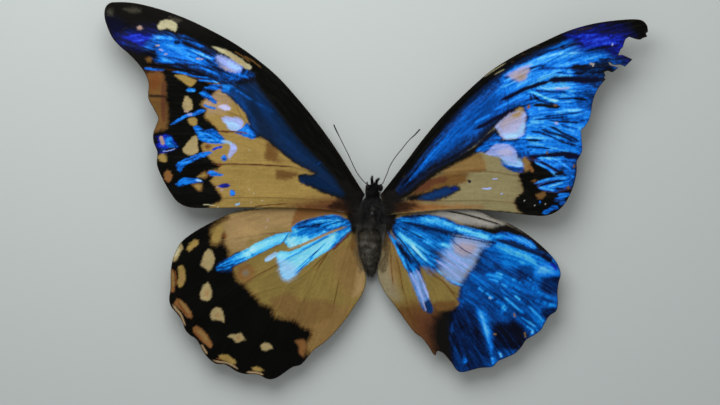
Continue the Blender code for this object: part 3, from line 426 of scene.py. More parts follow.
leftForewing = {
    "root": 6.1, "rise": 2.7, "span": 62.0, "trough": 0.0, "ground": "tan", "seed": 1, "veined": 0.5,
        "creaseShading": 0.2, "scuffed": 0.3, "eyespots": [-38, 30, 2.2, -40, 20, 2.6, -41, 10, 2.6],
    "edge": [
        ("curve", [-1.65, 4.3, -4, 8, -8, 14.4, -11.9, 20, -16.7, 26, -22.1, 32, -26.8, 36, -32.2, 39.8,
            -38, 43, -44, 45.8, -50, 47.9, -56, 49.25, -60, 49.4, -61.4, 49.2, -62.4, 48.2, -62.65, 46.2,
            -62.1, 43.8, -60.8, 41, -59, 39, -57, 37.3, -55, 35.2, -53.2, 32.7, -52.4, 30.5, -52.4, 26.8,
            -51.3, 24.6, -50.15, 22.1, -50.4, 21.2, -51.3, 18.6, -51.2, 16.6, -50.4, 14.4, -50.45, 11.4,
            -49.5, 8.8, -47.2, 4.6, -45.5, 2.5, -43.2, 1.4, -38, 1.15, -30, 1.3, -18, 1.1, -8, 0.4,
            -3.1, -0.5]),
        ("straight", [-3.05, 0.6, -2.8, 2, -2.2, 3.3]),
    ],
    "veins": [
        [-2.6, 4.1, -8, 12.6, -16, 23.4, -25, 32.8, -34, 39.2, -44, 44.2, -55, 47.6],
        [-3.4, 3.2, -8, 9, -14, 15.2, -20, 21.3, -26, 27.4, -31, 31.6, -40, 37.2, -50, 42.3, -60.4, 45.6],
        [-3.6, 2.4, -8, 5.4, -14, 9.4, -20, 13.6, -26, 18.2, -30.6, 22.6, -32.2, 27, -31, 31.6],
        [-32, 29.2, -40, 32.8, -50, 36.9, -58.4, 39.6],
        [-32.2, 27, -40, 28.8, -46, 30.6, -52, 31.4],
        [-30.6, 22.6, -38, 25.2, -45, 26.5, -51.4, 27.3],
        [-25, 17.4, -31, 18.8, -36, 19.3, -44, 19.2, -50.3, 18.3],
        [-14, 9.4, -18, 10.7, -22, 11.2, -30, 11.45, -40, 11.5, -49.4, 11.2],
        [-3.8, 1.4, -10, 3, -16, 3.4, -28, 3.7, -38, 3.4, -45.4, 3.4],
    ],
    "marks": [
        ("area", "pinkTan", 1.0, [-39, 28.4, -35, 28.4, -33, 26.4, -34, 24, -39, 23.6]),
        ("area", "brown", 0.6, [-24.8, 16.8, -25, 12.6, -23, 12, -18, 11.8, -16, 10.6, -14.4, 10.2,
            -18, 12.8, -22, 15.4]),
        ("area", "tan", 1.1, [-22, 14.8, -21.8, 13, -19.4, 12, -18, 12.4, -20.2, 13.8]),
        ("area", "brown", 0.6, [-22.6, 10.2, -20, 10, -17.5, 9.4, -17.4, 8.8, -19.2, 8, -22.4, 8.2]),
        ("area", "brown", 2.2, [-2, 4, -9, 4.6, -15, 3.2, -22, 2, -15, 1, -3, -1]),
        ("area", "russet", 1.2, [-4, 2.9, -9, 2.8, -14, 2, -19, 1.5, -14, 0.9, -4, 0.2]),
        ("area", "sable", 1.8, [-1, 4.8, -6, 5, -8, 3.6, -7, 1.6, -5.6, -0.6, -2, -1.4]),
        # costal band, then the blue cell behind it
        ("line", "soot", 1.6, [-3.4, 3, -8, 8, -14, 14, -20, 21, -26, 29, -27.4, 31.6, -31, 34.6, -38, 38.5,
            -45, 41.6, -53, 42.8, -57, 43.2, -60, 41.4]),
        ("line", "black", 0.8, [-61.6, 42.6, -59, 39.2, -57, 37.5, -55, 35.4, -53, 32.9]),
        ("area", "black", 0.4, [-3.6, 2.6, -6, 5.8, -8, 8.2, -10, 10.4, -12, 12.2, -14, 14.3, -16, 16.5,
            -18, 18.8, -20, 21.4, -22, 24, -24, 26.9, -26, 29.4, -27.2, 31, -27.4, 32.6, -31, 35, -35, 37,
            -38, 38.9, -41, 40.6, -45, 42.1, -49, 42.9, -53, 43.3, -58, 43.2, -59.4, 41.4, -59.6, 38.6,
            -55, 34, -64, 38, -68, 46, -62, 54, -30, 46, -10, 24, 2, 6]),
        ("area", "soot", 2.4, [-66, 54, -66, 40, -60, 39, -58, 43, -50, 43, -44, 42, -38, 41, -40, 47,
            -50, 54]),
        ("area", "purple", 2.0, [-62.4, 46, -60.5, 45.6, -58, 43.6, -59, 40.4, -61.6, 42.2]),
        ("area", "soot", 0.3, [-4.8, 3.2, -8, 8.3, -14, 14.3, -20, 21.4, -24, 26.9, -27.4, 31, -30, 33.2,
            -35.9, 30.4, -32.4, 26.4, -30.2, 24, -28.9, 21.2, -27.4, 17.9, -25.6, 17.6, -22, 14.7,
            -18, 11.6, -14.8, 9.9, -13.4, 9.1, -17.5, 8.9, -17.1, 7.4, -15, 6.3, -11, 4.5, -7, 3.2]),
        ("line", "soot", 1.2, [-4.4, 4.4, -7.4, 7.4]),
        ("area", "petrol", 0.26, [-5.6, 3.6, -7.6, 6.6, -9.4, 9, -12, 12, -14, 14, -16, 16.2, -18, 18.5,
            -20, 21.1, -22, 23.7, -24, 26.6, -26, 29.1, -27.2, 31, -30, 32.8, -33, 32.4, -35.6, 30.4,
            -35.5, 28.6, -34, 27.7, -32.6, 26.3, -31.2, 25, -30.2, 23.8, -29.3, 22.7, -29, 21.2,
            -28.6, 19.4, -27.4, 18.2, -26.2, 17.9, -25, 17.3, -23, 16.1, -22, 15.1, -20, 13.5, -18, 12,
            -16.5, 11, -15, 10.2, -13.2, 9.3, -14.4, 9, -16, 9.1, -17.2, 8.7, -17, 8, -16.4, 7.2, -15, 6.6,
            -13, 5.7, -11, 4.9, -9, 4.2, -7, 3.7]),
        ("calm", 0.82, 0.8, [-2, 1, -8, 9.5, -14, 15.5, -22, 25, -27, 31.2, -30, 30.4, -33, 27.6, -30, 22,
            -26.4, 16.6, -18, 9, -8, 2]),
        ("glow", -0.31, 0.6, [-2, 1, -8, 9.5, -14, 15.5, -22, 25, -27, 31.6, -31, 31, -34, 28, -30, 22,
            -26.4, 16.6, -18, 9, -8, 2]),
        ("glow", -0.08, 1.0, [-24, 17, -28, 19, -29.4, 24, -28, 25.6, -25.4, 22, -22.4, 18]),
        ("glow", -0.1, 0.8, [-9, 9.6, -14, 15, -20, 22.2, -25, 28.4, -23.6, 28.6, -12, 14]),
        ("glow", 0.07, 0.8, [-12, 10, -17, 14.6, -22, 20.4, -25.8, 26, -27.4, 28.4, -26, 23.4, -20, 16]),
        ("ray", 0.34, 0.32, [-35, 30.2, -33, 29.6, -31, 28.4, -29, 27, -27.8, 26.4]),
        ("ray", 0.16, 0.4, [-27.8, 26.2, -25, 24.8, -23, 23.6]),
        ("ray", 0.16, 0.14, [[-34, 31.2, -31, 29.8, -29, 28.6], [-9, 9.3, -11.4, 11.4, -13, 12.4]]),
        ("ray", 0.34, 0.14, [-12, 12.1, -12.8, 11.4]),
        # upper blue field
        ("area", "soot", 0.4, [-27.4, 32.8, -31, 35, -38, 38.9, -45, 42.1, -53, 43.4, -58, 43.2,
            -59.6, 41.6, -59.6, 39.4, -57, 38, -54, 34, -53.6, 33, -46, 33, -40.6, 31.4, -38, 30.4,
            -34, 30.4, -28, 31.2]),
        ("area", "blue", 0.35, [-27.7, 32.6, -29, 33.4, -31, 34.8, -35, 36.8, -38, 38.7, -41, 40.4,
            -44, 41.6, -47, 42.3, -50, 42.7, -53, 43, -57, 43, -58.4, 42.2, -58.8, 40.6, -58.4, 39.6,
            -56, 39, -54, 38.3, -52.8, 37, -51, 35.6, -50, 34.8, -46, 34.3, -43, 33.2, -40, 31.8, -38, 31,
            -35, 30.6, -30, 30.8, -28, 31.4]),
        ("calm", 0.5, 1.2, [-51, 43, -57, 43, -59, 41, -57, 39.6, -53, 39.6]),
        ("area", "violet", 1.4, [-49.4, 43.4, -57, 43.4, -59.6, 42.4, -60, 40.2, -57.6, 39, -54, 38.2,
            -52, 40]),
        ("glow", 0.1, 1.2, [-50, 43, -56, 42.6, -58, 41, -54, 39.4, -50, 39.6]),
        ("glow", -0.14, 0.8, [-60, 43.6, -52, 43.6, -46, 42.6, -46, 41.8, -52, 42, -57, 42.6, -59.6, 41]),
        ("glow", 0.2, 1.2, [-50.4, 37.6, -49, 39.8, -45, 39.6, -42, 38.6, -39.4, 37, -40.6, 35.2, -45, 35,
            -49.6, 35.2]),
        ("calm", 0.3, 0.8, [-50, 37, -47, 39.6, -42, 38, -41, 36, -45, 35]),
        ("glow", -0.2, 0.7, [-28, 30.6, -34, 31.6, -36, 33.6, -40, 34.6, -46, 35, -50, 34.8, -50, 33,
            -42, 31.6, -34, 30]),
        ("glow", -0.3, 0.7, [-53.6, 37.4, -51.4, 38.6, -50.8, 36.4, -53, 35.4]),
        ("glow", -0.16, 0.8, [-46, 42.4, -41, 40.6, -37.6, 38.4, -38.4, 37.6, -42, 39, -46.6, 40.4]),
        ("ray", 0.3, 0.22, [[-56, 40.2, -52, 40.9, -48, 40.9, -44, 40.2], [-54, 41.2, -50, 41.4, -46, 41.1],
            [-57, 41.6, -54, 41.8], [-55.4, 39.4, -52.4, 38.8, -51, 38.2]]),
        ("ray", 0.28, 0.3, [[-46, 42, -43, 41.2, -40.6, 40.2], [-45.4, 41.4, -42, 40, -39.4, 39],
            [-43, 38.6, -39.6, 37, -36.8, 35.8], [-41.6, 38, -38.2, 36.4, -36.6, 36.4], [-43.6, 34.7,
            -41, 34.2, -39, 33.6, -37, 32.9, -35.6, 32.2], [-34.4, 33.6, -32, 32.6, -29.4, 32]]),
        ("ray", -0.34, 0.2, [[-46, 41.3, -42, 40.5, -39, 39.3], [-45, 39.9, -42, 39, -39, 37.8, -37, 36.8],
            [-44.4, 38.6, -41, 37.2, -38.4, 35.8, -36.4, 34.6], [-49.6, 36.9, -46, 36.2, -43, 35.6,
            -40, 34.7, -37, 33.4], [-43, 37, -42, 36.6, -40.8, 36.6], [-38, 34.7, -35.4, 33.5, -33, 32.4]]),
        ("ray", -0.3, 0.35, [[-51, 35, -48, 34.8, -46, 34.9, -43, 34.6, -41, 34.9], [-44, 33.5, -41, 33.1,
            -38, 32.1, -36, 31.3], [-42, 32.7, -39, 32.2]]),
        ("ray", 0.4, 0.2, [[-46.8, 33.2, -44, 32.8, -42, 32.2, -38, 31.7], [-41, 31.2, -38, 31,
            -36, 30.6]]),
        # black field with the brown border
        ("rim", "black", 0.4, [-35.6, 29.6, -38.2, 27.3, -40.3, 25.5, -38.8, 24.2, -39.4, 22.8, -38.2, 21.5,
            -36.8, 20.2, -36, 19.2, -37.6, 17.4, -40, 16, -39.8, 14.8, -38.4, 13.2, -37.6, 12.4,
            -36.5, 11.7, -35.6, 11.2, -36.3, 10.2, -38.3, 9.9, -37.2, 8.4, -37.9, 7.6, -37.3, 6.8, -36.8, 6,
            -36.2, 5, -35.6, 4.2, -35.2, 3.2, -36.4, 2.4, -38.6, 1.3, -40, 0, -46, 0, -53, 10, -54, 20,
            -54, 30, -52, 34.4, -50, 34.4, -46, 33.2, -42, 32, -38, 30.6]),
        ("line", "black", 0.3, [-54, 35, -51, 34.7, -48, 34.2, -45, 33.7, -42, 32.9]),
        ("line", "blue", 0.3, [-46.8, 33.2, -44, 32.8, -42, 32.2, -40.4, 31.8, -37, 31.6]),
        ("line", "blue", 0.2, [-41, 31.2, -38, 31, -36, 30.6]),
        ("area", "brown", 0.7, [-52.3, 32.8, -51, 33.2, -49.6, 33.1, -48.9, 31.5, -48.4, 29.8, -48.3, 28.2,
            -48.4, 26.5, -48.1, 25, -48, 24, -47.9, 22.5, -48, 21.2, -48.4, 19.9, -50, 19.3, -53, 19,
            -54, 26, -53.6, 31]),
        ("area", "redBrown", 1.3, [-52.4, 32.4, -50, 32.6, -49.6, 30.2, -50.6, 28.8, -52, 29]),
        ("line", "blue", 0.26, [-53.6, 34, -51, 33.7, -48.4, 33.6]),
        ("line", "russet", 0.5, [-48.8, 31.4, -49, 26, -48.8, 21]),
        ("line", "darkBrown", 0.3, [-52.6, 27.5, -50, 27.4, -48, 27.2]),
        ("area", "tan", 0.24, [-46.3, 32.3, -45, 32.5, -43.6, 32.2, -42.4, 31.5, -41.2, 31, -41.6, 30.6,
            -42, 29.9, -43, 29.8, -44, 30.6, -45.2, 31.4]),
        ("area", "paleTan", 0.24, [-43.9, 27.5, -43.2, 27.4, -42.6, 26.7, -42.1, 25.6, -42.2, 24.4, -43, 24,
            -44.1, 24.3, -44.5, 25.4, -44.2, 26.4]),
        ("area", "tan", 0.24, [-43.5, 21.8, -42.8, 22.4, -41.8, 22.5, -41.1, 21.9, -41.2, 20.9, -41.8, 20.4,
            -42.6, 20.8]),
        ("area", "paleTan", 0.24, [-44.5, 15, -43.4, 16.4, -42.2, 17.8, -41.4, 18.2, -41, 17.4, -41, 16,
            -40.8, 14.6, -41.2, 14, -42.6, 13.6, -43.8, 13.9]),
        ("area", "redBrown", 0.4, [-39.4, 15.8, -38.6, 16.1, -37.8, 15.6, -38.4, 15, -39.2, 15.2]),
        ("area", "brown", 0.24, [-41.2, 8.4, -40.4, 9.2, -39.4, 9.9, -38.6, 9.4, -38.6, 8.6, -39.2, 7.9,
            -40, 8.2]),
        ("area", "brown", 0.24, [-42.4, 6.7, -41, 7, -39.8, 6.8, -39.6, 6, -40, 5.2, -40.8, 5.1, -41.8, 6]),
        ("area", "tan", 0.3, [[-41, 8.5, -40.2, 9, -39.4, 9.4, -39, 8.8, -39.8, 8.4], [-41.8, 6.4,
            -40.8, 6.7, -40, 6.4, -40.4, 5.6, -41, 5.7], [-50.4, 13, -49.4, 13.9, -48.4, 13.6, -48.2, 12.4,
            -48.4, 11.8, -49.4, 12.1]]),
        ("area", "rust", 0.28, [-48.8, 9.4, -48, 10, -47.2, 9.6, -47, 8.2, -47.8, 7.2, -48.6, 8]),
        ("line", "redBrown", 0.24, [[-35.6, 19.2, -33.6, 19], [-38.4, 10, -38, 8.6], [-36.4, 11.3,
            -35, 11.4]]),
        # blue among the black
        ("area", "blue", 0.16, [[-40.5, 28.2, -39.6, 28.7, -38.3, 27.9, -37.2, 26.9, -36.3, 26.2,
            -36.6, 25.7, -37.8, 26.1, -39, 26.9, -40, 27.6], [-39.6, 29.3, -38.5, 29.8, -37, 30.3,
            -35.8, 30.2, -35.6, 29.2, -36.4, 28.8, -38, 29]]),
        ("line", "blue", 0.36, [-43.6, 28.9, -41.4, 28.8]),
        ("line", "blue", 0.24, [-39.6, 25.5, -38.4, 24.9, -36.5, 24.5]),
        ("line", "pink", 0.2, [[-39.4, 26, -37.8, 25.6], [-44.2, 23.9, -43, 23.8]]),
        ("area", "mist", 0.2, [-36.2, 25, -35, 25.5, -34, 25.3, -33.1, 24.6, -33.3, 24.2, -34.4, 24.1,
            -35.6, 24.4]),
        ("area", "blue", 0.14, [-47.4, 20.7, -46.6, 21.4, -45, 22.4, -43.8, 23.1, -42, 23.6, -40.8, 24.2,
            -39.8, 24.4, -39.1, 24.1, -40.2, 23.4, -41.6, 22.9, -43.2, 22.6, -44.8, 21.8, -46.4, 20.9]),
        ("line", "lavender", 0.24, [-43.4, 23.1, -42.2, 23.2]),
        ("area", "lavender", 0.3, [-35.4, 22.4, -34.6, 22.6, -33, 22.4, -31.2, 22.4, -30.4, 21.8, -30.2, 21,
            -30.6, 20, -31.2, 19.4, -32, 19.2, -33, 19.4, -33.8, 20.2, -34.4, 21, -35.2, 21.8]),
        ("area", "pale", 0.5, [-34.6, 21.6, -33, 21.4, -31.4, 20.4, -31.2, 19.6, -33.4, 19.8]),
        ("area", "blue", 0.16, [-32.3, 19, -31, 19.7, -30.2, 20.4, -29.6, 21.2, -29, 21.2, -28.4, 20.2,
            -27.3, 19.2, -27.2, 17.9, -28, 17.4, -29.6, 17.9, -30.6, 18.2, -31.6, 18.6]),
        ("area", "blue", 0.15, [-41.9, 20.2, -41.2, 20.5, -40.2, 20.1, -39.6, 19.5, -38, 19.7, -36.6, 19.4,
            -35.8, 18.6, -35, 17.8, -34.4, 16.9, -34.8, 16.3, -36.4, 16.3, -38.4, 16.4, -39.8, 16.8,
            -40.6, 17.4, -41, 18.4, -41.6, 19.4]),
        ("line", "pale", 0.34, [-35.4, 16.8, -34, 16.7, -32.8, 16.2]),
        ("area", "lavender", 0.25, [-33.4, 16.4, -32.4, 16.2, -31.7, 15.4, -31.9, 14.5, -32.6, 13.9,
            -33.4, 12.8, -34, 13.2, -33.8, 14, -33.4, 14.9, -33.3, 15.6]),
        ("area", "blue", 0.2, [-35.4, 13, -35, 13.7, -34.3, 13.7, -34, 13, -34.4, 12.2, -35.1, 12.2]),
        ("area", "blue", 0.15, [-46, 11.2, -45.4, 11.9, -44, 12.6, -42, 13.5, -40, 14.2, -38, 14.5,
            -37.6, 14.2, -39, 13.3, -40.6, 12.7, -42.4, 11.9, -44, 11.1, -44.6, 10.2, -45, 9.7,
            -45.6, 10.2]),
        ("line", "violet", 0.28, [-37.6, 14.8, -36.4, 15.3, -35.1, 15.6]),
        ("area", "blue", 0.14, [[-38.7, 9.4, -38.2, 9.9, -37, 9.8, -36, 9.4, -34.9, 9, -35.4, 8.7, -37, 8.7,
            -38, 8.9], [-46.1, 6.8, -45.2, 7.6, -44, 8.3, -42.6, 8.1, -41, 8.2, -40.2, 7.7, -39.6, 7.3,
            -41, 7.2, -42.6, 7, -44, 6.6, -45.6, 6.3], [-33.3, 4.2, -33.4, 5.2, -32.9, 5.6, -32.3, 5.2,
            -32.1, 4.6, -32.5, 4]]),
        ("area", "violet", 0.14, [-36.5, 6.3, -35.4, 6.8, -34, 6.9, -33.3, 6.6, -33.6, 6.1, -35, 5.9]),
        ("line", "pale", 0.22, [[-32.2, 1.9, -31.5, 2.1, -31, 2.4], [-41.4, 7.8, -40, 7.5]]),
        ("line", "pink", 0.22, [[-35.6, 5.4, -34.9, 5.3], [-36.6, 6.1, -36.2, 6]]),
        ("area", "violet", 0.25, [-50.9, 17.9, -49.4, 18.4, -47.9, 18.4, -46.9, 17.9, -46.4, 16.6,
            -45.4, 15.6, -46.2, 14.9, -47.5, 14.5, -50.2, 14.2, -50.6, 15.6]),
        ("area", "blue", 0.2, [[-48.6, 17.4, -47.8, 18, -46.9, 17.6, -46.8, 16.6, -45.6, 15.6, -47.4, 15.4,
            -48.4, 16.2], [-50.2, 14.9, -49.4, 15.3, -48.6, 15.1, -48.6, 14.6]]),
        ("line", "soot", 0.24, [[-50.8, 17.6, -50.5, 16.4], [-48.4, 14.9, -47, 15.1, -45.8, 15.1]]),
        ("line", "lavender", 0.09, [-49.4, 14.4, -47.4, 14.7, -46, 15.2]),
        ("line", "pink", 0.42, [-49.6, 18.1, -49.2, 16.8, -49, 15.9]),
        ("glow", 0.24, 0.8, [-50, 24, -42, 30, -34, 30.5, -27, 20, -27, 16, -30, 4, -48, 4]),
        ("ray", -0.3, 0.14, [[-40.6, 18.8, -38.6, 18, -36.4, 16.8], [-39.4, 19.2, -37.4, 18.4, -35.6, 17.4],
            [-45, 11.8, -42.6, 12.6, -40.4, 13.6], [-40, 27.8, -38, 26.7], [-45.4, 7.2, -43.4, 7.5,
            -41.6, 7.7], [-47.8, 17, -46, 15.8]]),
        # pale spots in the dark front
        ("area", "lavender", 0.6, [-36.3, 37, -34.4, 36.6, -32, 35.4, -30.6, 34.4, -30.4, 33.6, -31, 33.2,
            -33, 33.4, -34.6, 34.2, -36, 35.2, -36.5, 36.2]),
        ("area", "pale", 0.6, [-34, 35.6, -32.4, 34.8, -31, 34, -31.4, 33.6, -33, 34.2]),
        ("area", "greyPink", 0.3, [-35.8, 34.6, -34.4, 34.3, -33, 33.6, -32.2, 33.1, -33.6, 33.3,
            -35, 33.9]),
        ("area", "blue", 0.3, [-30.6, 34.1, -29.6, 33.6, -28.4, 32.4, -27.6, 32, -27.6, 31, -29, 31.8,
            -30.6, 32.9]),
        ("area", "cream", 0.24, [-37.7, 39.1, -36, 38.9, -34, 38, -32, 37, -30, 35.6, -28.4, 34.5,
            -28.4, 33.9, -29.6, 33.9, -31, 34.9, -33, 36.3, -35, 37.5, -37, 38.6]),
        ("area", "paleTan", 0.5, [-34.4, 38, -32, 36.7, -30, 35.3, -29.4, 34.4, -31, 35.2, -33.4, 36.9]),
        ("line", "brown", 0.12, [[-32.4, 38, -30.4, 36.8, -28.6, 35.4], [-30.2, 37, -28, 35.7, -26, 34.1]]),
        ("area", "cream", 0.24, [-50.2, 44, -49.8, 44.8, -48.6, 45.2, -47.4, 45.4, -46.4, 44.9, -45.8, 44.2,
            -45.8, 43.2, -46.2, 42.6, -46.8, 42.8, -47.6, 43.2, -48.6, 43.3, -49.8, 43.1, -50.2, 43.4]),
        ("area", "pink", 0.24, [-55.2, 43.7, -54.6, 44, -54, 43.7, -53.8, 43.1, -55, 43]),
        ("area", "glimmer", 0.8, [[-58, 47.7, -56, 48, -54.4, 47.4, -56, 46.9], [-61.6, 47.6, -61, 47.4,
            -61, 46.4, -61.6, 46.6]]),
        ("area", "glimmer", 0.5, [-47.6, 46, -44.8, 45.2, -45.4, 44.8, -47.4, 45.6]),
        ("area", "brown", 0.4, [-53, 36.2, -52.4, 36.6, -51.6, 36.2, -51.8, 35.5, -52.6, 35.5]),
        ("line", "greyPink", 0.16, [[-50.8, 39.2, -49.8, 39.3], [-48.8, 37.3, -48, 37.3]]),
        ("line", "lavender", 0.16, [-50, 38.5, -49, 38.1]),
        ("line", "navy", 0.46, [-46.4, 40.1, -45, 40]),
        ("line", "pink", 0.14, [-41.4, 36.3, -39.6, 36.1]),
        ("line", "russet", 0.16, [[-36, 19.3, -33, 19.2, -29, 18.7], [-38, 11.4, -32, 11.5, -26, 11.3,
            -18, 10.8]]),
        ("line", "vein", 0.12, [-20, 2.2, -24, 1.9, -28, 1.5]),
        ("line", "redBrown", 0.16, [-17.6, 1.2, -14, 1.1, -10, 0.6, -7.6, 0.3]),
        # the first run is a painted glint along the curled rear edge near the root
        ("line", "cream", 0.09, [[-8.4, 0.4, -6.4, 0.1], [-40, 2.1, -36.6, 1.7]]),
    ],
    "specks": [-25.8, 2.9, -28.4, 2.5, -27.8, 4.6, -28.9, 5.5, -28.9, 14.8, -36.2, 1.4],
}

